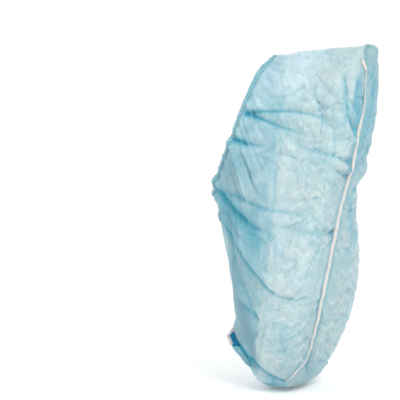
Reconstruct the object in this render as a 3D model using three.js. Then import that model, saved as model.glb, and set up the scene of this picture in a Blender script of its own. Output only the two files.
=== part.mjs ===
// An anti-slip shoe cover of thin nonwoven cloth, in the form that a raised foot gives it: heel up,
// toe down. Millimetres, +Z up.
//
// The cloth is one bag. It starts at a seam along the middle of the sole, runs up both sides, and
// ends at an elastic collar. The foot has a frame of its own: `along` runs from the heel to the toe,
// `across` to the far side, and `rise` up from the sole. A place on the cloth is a side (NEAR or
// FAR), its `along`, and its `share`: 0 at the sole seam, 1 at the collar.
import * as THREE from "three";

// How the foot is held.
const LEAN = THREE.MathUtils.degToRad(10.9);
const COLLAR_CENTRE = new THREE.Vector3(106, 0, 103);

// The cloth and its mesh.
const WALL = 1.2;
const GAP = 0.3;
const COLUMNS = 108;
const RINGS = [0, 0.07, 0.15, 0.22, 0.29, 0.36, 0.43, 0.5, 0.57, 0.64, 0.71, 0.78, 0.85, 0.91, 0.96, 1];
const NEAR = -1;
const FAR = 1;

// How finely places are looked up: the step of angle and share that a direction is measured over,
// the share below which it isn't measured, the halvings of a search, the parts of a loop's half that
// its length is added up over, and the steps of a walk up the cloth.
const PROBE = 0.02;
const LOWEST_PROBE = 0.004;
const HALVINGS = 30;
const LENGTH_PARTS = 240;
const WALK_STEPS = 100;

// The collar's elastic hem and the gathers that it pulls into the cloth.
const HEM_HEIGHT = 5;
const HEM_THICK = 3;
const GATHERS = 27;
const GATHER_DEPTH = 1.6;
const GATHER_FROM = 0.8;

// The white tape along the sole seam.
const TAPE_THICK = 1.2;
const TAPE_GAP = 0.5;
const TAPE_STEP = 6.5;
const TAPE_START = 24;
const TAPE_END = 299;

// The moulded zigzag ribs of the sole: half a zigzag is ZIG_RUN across and ZIG_SWING along.
const RIB_ROWS = 22;
const RIB_FIRST = 28;
const RIB_PITCH = 12.9;
const NEAR_ZIGS = 8;
const FAR_ZIGS = 5;
const RIB_START = 10;
const ZIG_RUN = 8;
const ZIG_SWING = 6;
const RIB_BAND = 4.6;
const RIB_THICK = 0.8;
const RIB_GAP = 0.95;

// How the seats of the tape and the ribs on the cloth are measured: how far off the cloth is looked
// from, the places across a strip and the parts of each straight stretch that are looked at, and the
// least cosine between two of a stretch's outward directions.
const LOOK_FROM = 12;
const ACROSS = [-1, -0.5, 0, 0.5, 1];
const PARTS = Array.from({ length: 9 }, (_, i) => i / 8);
const MOST_TURNED = 0.5;

// The cloth's level loops, from the sole seam to the collar. heel and toe are the loop's ends along
// the foot, near and far its half-widths, and the next three its rise at the heel, the sides and the
// toe. toeRound and heelRound say how round the ends are: 1 is an ellipse, less is squarer.
const LOOPS = table(
  ["share", "heel", "toe", "near", "far", "heelRise", "sideRise", "toeRise", "toeRound", "heelRound"],
  [
    [0.00, 14, 310, 0, 0, 2, -3, 6, 1.00, 1.00],
    [0.15, 6, 321, 28, 40, 0, -6, 1, 0.82, 0.83],
    [0.28, 3, 327, 47, 63, 0, -2, 3, 0.62, 0.70],
    [0.37, 8, 334, 54, 66, 9, 8, 17, 0.60, 0.68],
    [0.48, 12, 337, 54, 64, 27, 24, 38, 0.70, 0.76],
    [0.62, 18, 323, 50, 58, 48, 41, 50, 0.85, 0.86],
    [0.78, 23, 298, 46, 50, 67, 64, 76, 0.90, 0.92],
    [0.90, 29, 245, 42, 44, 80, 82, 93, 0.95, 0.96],
    [1.00, 33, 178, 42, 41, 90, 99, 124, 0.95, 1.00],
  ],
);

// How much of the loops' width the sole keeps along the foot: narrow at the heel and the arch, full
// at the ball. It fades out over the last PLAN_FADE of the share, up to the collar.
const PLAN_FADE = 0.55;
const PLAN = table(
  ["along", "near", "far"],
  [
    [0, 0.62, 0.67],
    [60, 0.66, 0.60],
    [120, 0.68, 0.50],
    [155, 0.75, 0.50],
    [190, 0.90, 0.82],
    [225, 1.00, 1.05],
    [265, 1.00, 1.15],
    [305, 0.96, 1.03],
    [340, 0.91, 0.91],
  ],
);

// The wave of the sole along the foot, gone above KEEL_TOP.
const KEEL_TOP = 0.42;
const KEEL = table(
  ["along", "rise"],
  [
    [0, 5],
    [30, -1],
    [70, -4],
    [110, -2],
    [150, 2],
    [190, 3],
    [230, 1],
    [270, 0],
    [315, 1],
  ],
);

// The main folds. depth is the height of a ridge, or less than 0 for a groove, width is how far it
// reaches to each side, and path holds its points as [along, share].
const FOLDS = table(
  ["name", "side", "depth", "width", "path"],
  [
    ["heel_corner_groove", NEAR, -3.5, 11, [[38, 0.34], [51, 0.27], [71, 0.1]]],
    ["heel_side_ridge", NEAR, 2.5, 12, [[34, 0.46], [62, 0.37], [84, 0.24]]],
    ["collar_groove", NEAR, -2.5, 10, [[88, 0.9], [90, 0.77], [92, 0.49]]],
    ["ankle_groove", NEAR, -3, 11, [[102, 0.62], [106, 0.51], [103, 0.39], [112, 0.06]]],
    ["side_dent", NEAR, -3, 12, [[92, 0.74], [106, 0.69], [131, 0.69], [158, 0.65]]],
    ["instep_groove", NEAR, -3, 11, [[162, 0.97], [164, 0.89], [165, 0.73], [163, 0.42]]],
    ["instep_fold", NEAR, -5.5, 12, [[167, 0.97], [178, 0.9], [187, 0.77], [191, 0.57]]],
    ["instep_ridge", NEAR, 3, 9, [[176, 0.97], [189, 0.89], [204, 0.78]]],
    ["toe_long_groove", NEAR, -4, 11, [[193, 0.93], [207, 0.85], [221, 0.74], [234, 0.58], [238, 0.4]]],
    ["toe_side_groove", NEAR, -2.5, 11, [[214, 0.88], [252, 0.78], [268, 0.57]]],
    ["toe_low_groove", NEAR, -2, 11, [[290, 0.45], [275, 0.2]]],
    ["flap_channel", NEAR, -3, 9, [[322, 0.44], [315, 0.54], [309, 0.64], [301, 0.73]]],
    ["arch_groove", FAR, -2.5, 14, [[140, 0.14], [138, 0.22], [136, 0.32], [132, 0.44]]],
    ["arch_ridge", FAR, 2.4, 10, [[118, 0.1], [120, 0.24], [116, 0.4]]],
    ["far_heel_groove", FAR, -2, 11, [[87, 0.09], [55, 0.26]]],
    ["far_side_groove", FAR, -3.5, 14, [[110, 0.9], [130, 0.74], [150, 0.56]]],
    ["far_toe_groove", FAR, -3, 13, [[190, 0.86], [220, 0.7], [256, 0.52]]],
    ["heel_back_groove", FAR, -3, 12, [[36, 0.9], [40, 0.66], [52, 0.44]]],
  ],
);

// The tape's width along its run: it is thin round the heel and the toe.
const TAPE_WIDTHS = table(
  ["run", "width"],
  [
    [0.00, 2.4],
    [0.06, 1.6],
    [0.20, 1.8],
    [0.27, 4.4],
    [0.80, 4.6],
    [0.88, 2.0],
    [1.00, 1.2],
  ],
);
const TAPE_PATH = table(
  ["along", "share"],
  [
    [15, 0.2],
    [18, 0.1],
    [TAPE_START, 0],
    [TAPE_END, 0],
    [304, 0.07],
    [306, 0.14],
    [309, 0.21],
    [313, 0.27],
    [317, 0.31],
    [321, 0.34],
  ],
);

// The flap where the bag's corner is folded at the toe, from the sole up the front. reach is how far
// it stands off the cloth, and turn how far its edge leans to the near side.
const FLAP_THICK = 1.6;
const FLAP_LIFT = 0.8;
const FLAP = table(
  ["along", "share", "reach", "turn"],
  [
    [331, 0.42, 2.0, 0],
    [331, 0.46, 2.5, 1],
    [327, 0.52, 4.0, 2],
    [320, 0.60, 6.5, 3],
    [313, 0.66, 8.5, 4],
    [305, 0.71, 9.0, 5],
    [300, 0.745, 9.0, 5],
  ],
);
// The tape's loose end: it caps the flap and turns back to the cloth.
const TAIL_THICK = 1.3;
const TAIL_WIDTH = 4;
const TAIL = table(
  ["along", "share", "reach", "turn"],
  [
    [308, 0.695, 13.4, 7.4],
    [300, 0.745, 13.4, 7.4],
    [297, 0.765, 13.0, 7.0],
    [293, 0.785, 9.0, 6.0],
    [290, 0.80, 5.0, 4.0],
  ],
);

// A table's rows as objects, each value under its column's name.
function table(columns, rows) {
  return rows.map((row) => Object.fromEntries(columns.map((name, i) => [name, row[i]])));
}

// A smooth curve through a table's rows, read from the column `key` at the place `at` of `base`.
function curve(rows, base, key, at) {
  const last = rows.length - 1;
  let i = 0;
  while (i < last - 1 && rows[i + 1][base] <= at) i += 1;
  const slope = (k) => {
    const a = rows[Math.max(k - 1, 0)];
    const b = rows[Math.min(k + 1, last)];
    return (b[key] - a[key]) / (b[base] - a[base]);
  };
  const span = rows[i + 1][base] - rows[i][base];
  const t = (at - rows[i][base]) / span;
  const s = 1 - t;
  const start = s * s * (1 + 2 * t) * rows[i][key] + s * s * t * span * slope(i);
  return start + t * t * (3 - 2 * t) * rows[i + 1][key] - t * t * s * span * slope(i + 1);
}

// The plain cloth without folds, at an angle round the loop: 0 is the toe, and the near side is
// negative.
function plain(angle, share) {
  const at = (key) => curve(LOOPS, "share", key, share);
  const c = Math.cos(angle);
  const s = Math.sin(angle);
  const round = (at("toeRound") + at("heelRound")) / 2 + ((at("toeRound") - at("heelRound")) / 2) * c;
  const end = Math.sign(c) * Math.abs(c) ** round;
  const along = (at("heel") + at("toe")) / 2 + ((at("toe") - at("heel")) / 2) * end;
  const side = s < 0 ? "near" : "far";
  const narrowing = (curve(PLAN, "along", side, along) - 1) * Math.min(1, (1 - share) / PLAN_FADE);
  const across = Math.sign(s) * at(side) * Math.abs(s) ** round * (1 + narrowing);
  const tilt = ((at("toeRise") - at("heelRise")) / 2) * end;
  const bend = ((at("toeRise") + at("heelRise")) / 2 - at("sideRise")) * end * end;
  const wave = curve(KEEL, "along", "rise", along) * Math.max(0, 1 - share / KEEL_TOP);
  return new THREE.Vector3(along, across, at("sideRise") + tilt + bend + wave);
}

// The outward direction of the plain cloth on one side.
function sideOutward(angle, share) {
  const low = Math.min(Math.max(share - PROBE / 2, LOWEST_PROBE), 1 - PROBE);
  const round = plain(angle + PROBE, low + PROBE / 2).sub(plain(angle - PROBE, low + PROBE / 2));
  const up = plain(angle, low + PROBE).sub(plain(angle, low));
  return round.cross(up).normalize();
}

// The outward direction. On the sole seam it lies midway between those of the two sides.
function outward(angle, share) {
  const away = sideOutward(angle, share);
  return share > 0 ? away : away.add(sideOutward(-angle, share)).normalize();
}

// The angle at which a side's loop reaches `along`.
function angleAt(side, along, share) {
  let toe = 0;
  let heel = Math.PI;
  for (let i = 0; i < HALVINGS; i += 1) {
    const middle = (toe + heel) / 2;
    if (plain(side * middle, share).x > along) toe = middle;
    else heel = middle;
  }
  return (side * (toe + heel)) / 2;
}

const FOLD_PATHS = FOLDS.map((fold) => ({
  ...fold,
  points: fold.path.map(([along, share]) => plain(angleAt(fold.side, along, share), share)),
}));

// How far the folds move the cloth at a place.
function foldHeight(place) {
  const nearest = new THREE.Vector3();
  let height = 0;
  for (const fold of FOLD_PATHS) {
    let distance = Infinity;
    for (let i = 1; i < fold.points.length; i += 1) {
      new THREE.Line3(fold.points[i - 1], fold.points[i]).closestPointToPoint(place, true, nearest);
      distance = Math.min(distance, nearest.distanceTo(place));
    }
    const reach = Math.max(0, 1 - (distance / fold.width) ** 2);
    height += fold.depth * reach * reach;
  }
  return height;
}

// The folded cloth: its place, moved `out` along the outward direction.
function cloth(angle, share, out, turn = 0) {
  const place = plain(angle, share);
  const away = outward(angle, share);
  const rise = THREE.MathUtils.smoothstep(share, GATHER_FROM, 1);
  const gather = GATHER_DEPTH * rise * Math.cos(2 * Math.PI * GATHERS * turn);
  return place.addScaledVector(away, foldHeight(place) + gather + out);
}

// The angles that divide one side of a loop into steps of equal length, from the toe to the heel.
function evenAngles(side, share, steps) {
  const lengths = [0];
  let last = plain(0, share);
  for (let i = 1; i <= LENGTH_PARTS; i += 1) {
    const next = plain((side * Math.PI * i) / LENGTH_PARTS, share);
    lengths.push(lengths[i - 1] + next.distanceTo(last));
    last = next;
  }
  const angles = [];
  let i = 1;
  for (let k = 0; k <= steps; k += 1) {
    const wanted = (lengths[LENGTH_PARTS] * k) / steps;
    while (i < LENGTH_PARTS && lengths[i] < wanted) i += 1;
    const part = (wanted - lengths[i - 1]) / (lengths[i] - lengths[i - 1]);
    angles.push((side * Math.PI * (i - 1 + part)) / LENGTH_PARTS);
  }
  return angles;
}

// The angles of a whole loop's columns, from the toe round the far side and back along the near one.
function columnAngles(share) {
  const half = COLUMNS / 2;
  const far = evenAngles(FAR, share, half);
  const near = evenAngles(NEAR, share, half);
  return Array.from({ length: COLUMNS }, (_, k) => (k <= half ? far[k] : near[COLUMNS - k]));
}

// A place of the foot's frame in the part's own frame.
function world(place) {
  const p = place.clone().sub(COLLAR_CENTRE);
  const x = -p.x * Math.sin(LEAN) - p.z * Math.cos(LEAN);
  const z = -p.x * Math.cos(LEAN) + p.z * Math.sin(LEAN);
  return new THREE.Vector3(x, p.y, z);
}

// A closed mesh from places of the foot's frame and quads or triangles of their numbers. The foot's
// frame is left-handed, so the triangles are turned round on the way into the part's own.
function solid(name, material, places, faces) {
  const geometry = new THREE.BufferGeometry();
  const positions = places.flatMap((place) => world(place).toArray());
  geometry.setAttribute("position", new THREE.Float32BufferAttribute(positions, 3));
  const triangles = ([a, b, c, d]) => (d === undefined ? [a, c, b] : [a, c, b, a, d, c]);
  geometry.setIndex(faces.flatMap(triangles));
  geometry.computeVertexNormals();
  const mesh = new THREE.Mesh(geometry, material.clone());
  mesh.name = name;
  return mesh;
}

// A bar through a list of cross-sections, each a loop of four places. Opposite sides are split along
// matching diagonals, so that a twisted stretch keeps its thickness.
function bar(name, material, sections, closed = false) {
  const faces = [];
  const count = sections.length;
  for (let k = 0; k < (closed ? count : count - 1); k += 1) {
    const a = 4 * k;
    const b = 4 * ((k + 1) % count);
    for (let i = 0; i < 4; i += 1) {
      const n = (i + 1) % 4;
      faces.push(i < 2 ? [a + i, b + i, b + n, a + n] : [b + i, b + n, a + n, a + i]);
    }
  }
  const end = 4 * (count - 1);
  if (!closed) faces.push([0, 1, 2, 3], [end + 3, end + 2, end + 1, end]);
  return solid(name, material, sections.flat(), faces);
}

const CLOTH = new THREE.MeshStandardMaterial({ color: 0xafd7e1, roughness: 0.75, metalness: 0 });
const ELASTIC = new THREE.MeshStandardMaterial({ color: 0x7fb6c4, roughness: 0.8, metalness: 0 });
const TAPE = new THREE.MeshStandardMaterial({ color: 0xe8e2dc, roughness: 0.7, metalness: 0 });
const TREAD = new THREE.MeshStandardMaterial({ color: 0xd5e3e4, roughness: 0.55, metalness: 0 });

// The bag. Its outer and inner skins meet at the collar, and each starts from one line of places
// along the sole seam, which the near and far sides share.
function body() {
  const places = [];
  const half = COLUMNS / 2;
  const skins = [0, -WALL].map((out) => RINGS.map((share) => {
    const angles = columnAngles(share);
    const numbers = [];
    for (let k = 0; k < COLUMNS; k += 1) {
      if (share === 0 && k > half) {
        numbers.push(numbers[COLUMNS - k]);
        continue;
      }
      numbers.push(places.length);
      places.push(cloth(angles[k], share, out, k / COLUMNS));
    }
    return numbers;
  }));
  const faces = [];
  const quad = (a, b, c, d) => {
    const corners = [a, b, c, d].filter((n, i, all) => n !== all[(i + 1) % 4]);
    if (corners.length > 2) faces.push(corners);
  };
  for (let k = 0; k < COLUMNS; k += 1) {
    const n = (k + 1) % COLUMNS;
    for (let ring = 1; ring < RINGS.length; ring += 1) {
      const [outer, inner] = skins;
      quad(outer[ring - 1][k], outer[ring - 1][n], outer[ring][n], outer[ring][k]);
      quad(inner[ring - 1][n], inner[ring - 1][k], inner[ring][k], inner[ring][n]);
    }
    const [outer, inner] = skins.map((skin) => skin[RINGS.length - 1]);
    quad(outer[k], outer[n], inner[n], inner[k]);
  }
  return solid("body", CLOTH, places, faces);
}

// The elastic hem, a band that carries on past the cloth's edge.
function collar() {
  const angles = columnAngles(1);
  const sections = angles.map((angle, k) => {
    const turn = k / COLUMNS;
    const edge = cloth(angle, 1, 0, turn);
    const away = outward(angle, 1);
    const up = edge.clone().sub(cloth(angle, 1 - PROBE, 0, turn));
    up.addScaledVector(away, -up.dot(away)).normalize();
    const thickness = [(HEM_THICK - WALL) / 2, -(HEM_THICK + WALL) / 2];
    const corner = (out, height) => edge.clone().addScaledVector(away, out).addScaledVector(up, height);
    return [
      corner(thickness[0], GAP),
      corner(thickness[0], GAP + HEM_HEIGHT),
      corner(thickness[1], GAP + HEM_HEIGHT),
      corner(thickness[1], GAP),
    ];
  });
  return bar("collar_elastic", ELASTIC, sections, true);
}

const bag = body();

// How far the modelled cloth stands over a place, along its outward direction.
function clothOver(place, away) {
  const from = world(place.clone().addScaledVector(away, LOOK_FROM));
  const down = world(COLLAR_CENTRE.clone().sub(away));
  const [hit] = new THREE.Raycaster(from, down).intersectObject(bag);
  return hit === undefined ? 0 : LOOK_FROM - hit.distance;
}

// How far each section of a strip is lifted, so that its straight stretches clear the cloth by
// `gap`. A section is a list of seats across the strip, each a place on the cloth and its direction.
function lifts(seats, gap) {
  const needs = seats.slice(1).map((ends, k) => Math.max(...ends.flatMap((end, i) => PARTS.map((part) => {
    const start = seats[k][i];
    const away = start.away.clone().lerp(end.away, part).normalize();
    const turned = Math.min(start.away.dot(away), end.away.dot(away));
    return clothOver(start.place.clone().lerp(end.place, part), away) / Math.max(MOST_TURNED, turned);
  }))));
  return seats.map((_, k) => gap + Math.max(0, needs[k - 1] ?? 0, needs[k] ?? 0));
}

// The tape: from the heel's corner, along the sole seam, and aside round the toe.
function soleSeam() {
  const stops = TAPE_PATH.flatMap(({ along, share }) => {
    const steps = along === TAPE_END ? Math.round((TAPE_END - TAPE_START) / TAPE_STEP) : 1;
    const first = along - (steps - 1) * TAPE_STEP;
    return Array.from({ length: steps }, (_, i) => [angleAt(NEAR, first + i * TAPE_STEP, share), share]);
  });
  const places = stops.map(([angle, share]) => plain(angle, share));
  const last = stops.length - 1;
  const seats = stops.map(([angle, share], k) => {
    const away = outward(angle, share);
    const ahead = places[Math.min(k + 1, last)].clone().sub(places[Math.max(k - 1, 0)]);
    const across = ahead.clone().cross(away).normalize();
    const half = curve(TAPE_WIDTHS, "run", "width", k / last) / 2;
    const centre = cloth(angle, share, 0);
    return ACROSS.map((side) => ({ place: centre.clone().addScaledVector(across, side * half), away }));
  });
  const lift = lifts(seats, TAPE_GAP);
  const sections = seats.map((across, k) => {
    const [left, right] = [across[0], across.at(-1)];
    const corner = ({ place, away }, out) => place.clone().addScaledVector(away, lift[k] + out);
    return [corner(left, 0), corner(right, 0), corner(right, TAPE_THICK), corner(left, TAPE_THICK)];
  });
  return bar("sole_seam", TAPE, sections);
}

// The walk across the cloth from the sole seam, for one side and one `along`: how far each share is.
function walk(side, along) {
  const stops = [{ distance: 0, share: 0 }];
  let last = plain(angleAt(side, along, 0), 0);
  for (let i = 1; i <= WALK_STEPS; i += 1) {
    const share = i / WALK_STEPS;
    const next = plain(angleAt(side, along, share), share);
    stops.push({ distance: stops[i - 1].distance + next.distanceTo(last), share });
    last = next;
  }
  return stops;
}

// One zigzag rib, from beside the seam up one side. Between its corners it is straight.
function rib(side, row) {
  const middle = RIB_FIRST + row * RIB_PITCH;
  const zigs = side === FAR ? FAR_ZIGS : NEAR_ZIGS;
  const walks = new Map();
  const seat = (along, distance) => {
    if (!walks.has(along)) walks.set(along, walk(side, along));
    const { share } = walks.get(along).find((stop) => stop.distance >= distance);
    const angle = angleAt(side, along, share);
    return { place: cloth(angle, share, 0), away: outward(angle, share) };
  };
  const seats = Array.from({ length: zigs + 1 }, (_, k) => {
    const swing = (k % 2 === 0 ? -ZIG_SWING : ZIG_SWING) / 2;
    return ACROSS.map((edge) => seat(middle + swing + (edge * RIB_BAND) / 2, RIB_START + k * ZIG_RUN));
  });
  const lift = lifts(seats, RIB_GAP);
  const sections = seats.map((across, k) => {
    const [low, high] = [across[0], across.at(-1)];
    const corner = ({ place, away }, out) => place.clone().addScaledVector(away, lift[k] + out);
    const section = [corner(low, 0), corner(low, RIB_THICK), corner(high, RIB_THICK), corner(high, 0)];
    return side === FAR ? section : section.reverse();
  });
  const name = `tread_${side === FAR ? "far" : "near"}_${String(row + 1).padStart(2, "0")}`;
  return bar(name, TREAD, sections);
}

// A strip that stands off the cloth, from a table of its edge: `thick` is its thickness along the
// cloth, and `depth` how deep it is, from the edge down, or down to the cloth where it is left out.
function standing(name, material, rows, thick, depth = Infinity) {
  const places = rows.map((row) => {
    const angle = angleAt(NEAR, row.along, row.share);
    const away = outward(angle, row.share);
    const foot = cloth(angle, row.share, FLAP_LIFT);
    return { row, foot, away };
  });
  const last = places.length - 1;
  const sections = places.map(({ row, foot, away }, k) => {
    const ahead = places[Math.min(k + 1, last)].foot.clone().sub(places[Math.max(k - 1, 0)].foot);
    const side = away.clone().cross(ahead).normalize();
    const edge = foot.clone().addScaledVector(away, row.reach).addScaledVector(side, row.turn);
    const down = foot.clone().sub(edge);
    const low = edge.clone().addScaledVector(down.clone().normalize(), Math.min(depth, down.length()));
    const wide = (place, half) => place.clone().addScaledVector(side, half);
    return [wide(low, thick / 2), wide(low, -thick / 2), wide(edge, -thick / 2), wide(edge, thick / 2)];
  });
  return bar(name, material, sections);
}

const cover = new THREE.Group();
cover.add(bag, collar(), soleSeam());
cover.add(standing("toe_flap", CLOTH, FLAP, FLAP_THICK));
cover.add(standing("seam_tail", TAPE, TAIL, TAIL_THICK, TAIL_WIDTH));
for (const side of [NEAR, FAR]) {
  for (let row = 0; row < RIB_ROWS; row += 1) cover.add(rib(side, row));
}

export default cover;
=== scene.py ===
"""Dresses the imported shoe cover: folded nonwoven cloth, seam tape, printed ribs and elastic collar.

The cloth is one bag round a foot. A place on it has an angle round its loop, 0 at the toe, pi at the
heel and less than 0 on the near side, and a share, 0 at the sole seam and 1 at the collar. The foot's
own frame is in millimetres: along from the heel to the toe, across to the far side, and up from the
sole. What Blender gets is in metres, in the part's frame.
"""

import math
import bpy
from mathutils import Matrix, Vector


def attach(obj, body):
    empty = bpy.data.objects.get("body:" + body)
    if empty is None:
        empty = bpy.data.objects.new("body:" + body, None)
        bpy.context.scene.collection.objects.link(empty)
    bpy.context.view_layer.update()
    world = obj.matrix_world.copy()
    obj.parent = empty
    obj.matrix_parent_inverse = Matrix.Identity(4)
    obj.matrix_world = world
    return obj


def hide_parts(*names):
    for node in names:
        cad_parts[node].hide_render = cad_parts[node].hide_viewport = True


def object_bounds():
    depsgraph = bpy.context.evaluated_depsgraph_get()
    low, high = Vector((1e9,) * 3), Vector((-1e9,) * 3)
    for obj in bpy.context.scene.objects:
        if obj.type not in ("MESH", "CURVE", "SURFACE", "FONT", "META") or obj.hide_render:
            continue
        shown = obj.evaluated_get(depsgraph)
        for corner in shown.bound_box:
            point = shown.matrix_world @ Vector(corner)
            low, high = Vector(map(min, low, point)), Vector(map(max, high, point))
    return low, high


bl_info = {
    "name": "Anti-slip shoe cover",
    "version": (1, 0, 0),
    "blender": (4, 5, 0),
    "location": "3D View > Sidebar > Shoe Cover",
    "description": "Makes the folded cloth, seam tape, printed ribs and elastic collar of a shoe cover",
    "category": "Add Mesh",
}

import bmesh
import bpy
import numpy as np
from mathutils import Vector, noise
from mathutils.bvhtree import BVHTree

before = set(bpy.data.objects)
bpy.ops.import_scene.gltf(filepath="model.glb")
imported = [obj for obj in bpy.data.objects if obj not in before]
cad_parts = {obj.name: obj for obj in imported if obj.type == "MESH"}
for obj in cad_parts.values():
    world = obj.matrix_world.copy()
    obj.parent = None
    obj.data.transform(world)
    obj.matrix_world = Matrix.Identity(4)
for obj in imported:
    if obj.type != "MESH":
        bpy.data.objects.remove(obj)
CAD_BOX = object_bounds()

# How the foot is held, as in the frame.
MM = 0.001
LEAN = math.radians(10.9)
COLLAR_CENTRE = np.array([106.0, 0.0, 103.0])
NEAR = -1
FAR = 1


def table(columns, rows):
    """A table's columns as arrays, each under its own name."""
    return {name: np.array([row[i] for row in rows], dtype=float) for i, name in enumerate(columns)}


def named_rows(columns, rows):
    """A table's rows, each with its values under the columns' names."""
    return [dict(zip(columns, row)) for row in rows]


# The cloth's level loops. heel and toe are the loop's ends along the foot, near and far its
# half-widths, the next three its rise, and toe_round and heel_round how round its ends are.
LOOPS = table(
    (
        "share", "heel", "toe", "near", "far",
        "heel_rise", "side_rise", "toe_rise", "toe_round", "heel_round",
    ),
    (
        (0.00, 14, 310, 0, 0, 2, -3, 6, 1.00, 1.00),
        (0.15, 6, 321, 28, 40, 0, -6, 1, 0.82, 0.83),
        (0.28, 5, 327, 47, 63, 0, -2, 3, 0.62, 0.70),
        (0.37, 8, 334, 54, 66, 9, 8, 17, 0.60, 0.68),
        (0.48, 12, 337, 54, 64, 27, 24, 38, 0.70, 0.76),
        (0.62, 18, 323, 50, 58, 48, 41, 50, 0.85, 0.86),
        (0.78, 23, 298, 46, 50, 67, 64, 76, 0.90, 0.92),
        (0.90, 29, 245, 42, 44, 80, 82, 93, 0.95, 0.96),
        (1.00, 33, 178, 42, 41, 90, 99, 124, 0.95, 1.00),
    ),
)

# How much of the loops' width the sole keeps along the foot, fading out up the cloth.
PLAN_FADE = 0.55
PLAN = table(
    ("along", "near", "far"),
    (
        (0, 0.62, 0.67),
        (60, 0.66, 0.60),
        (120, 0.68, 0.50),
        (155, 0.75, 0.50),
        (190, 0.90, 0.82),
        (225, 1.00, 1.05),
        (265, 1.00, 1.15),
        (305, 0.96, 1.03),
        (340, 0.91, 0.91),
    ),
)

# The wave of the sole along the foot, gone above KEEL_TOP.
KEEL_TOP = 0.42
KEEL = table(
    ("along", "rise"),
    ((0, 5), (30, -1), (70, -4), (110, -2), (150, 2), (190, 3), (230, 1), (270, 0), (315, 1)),
)

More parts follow.
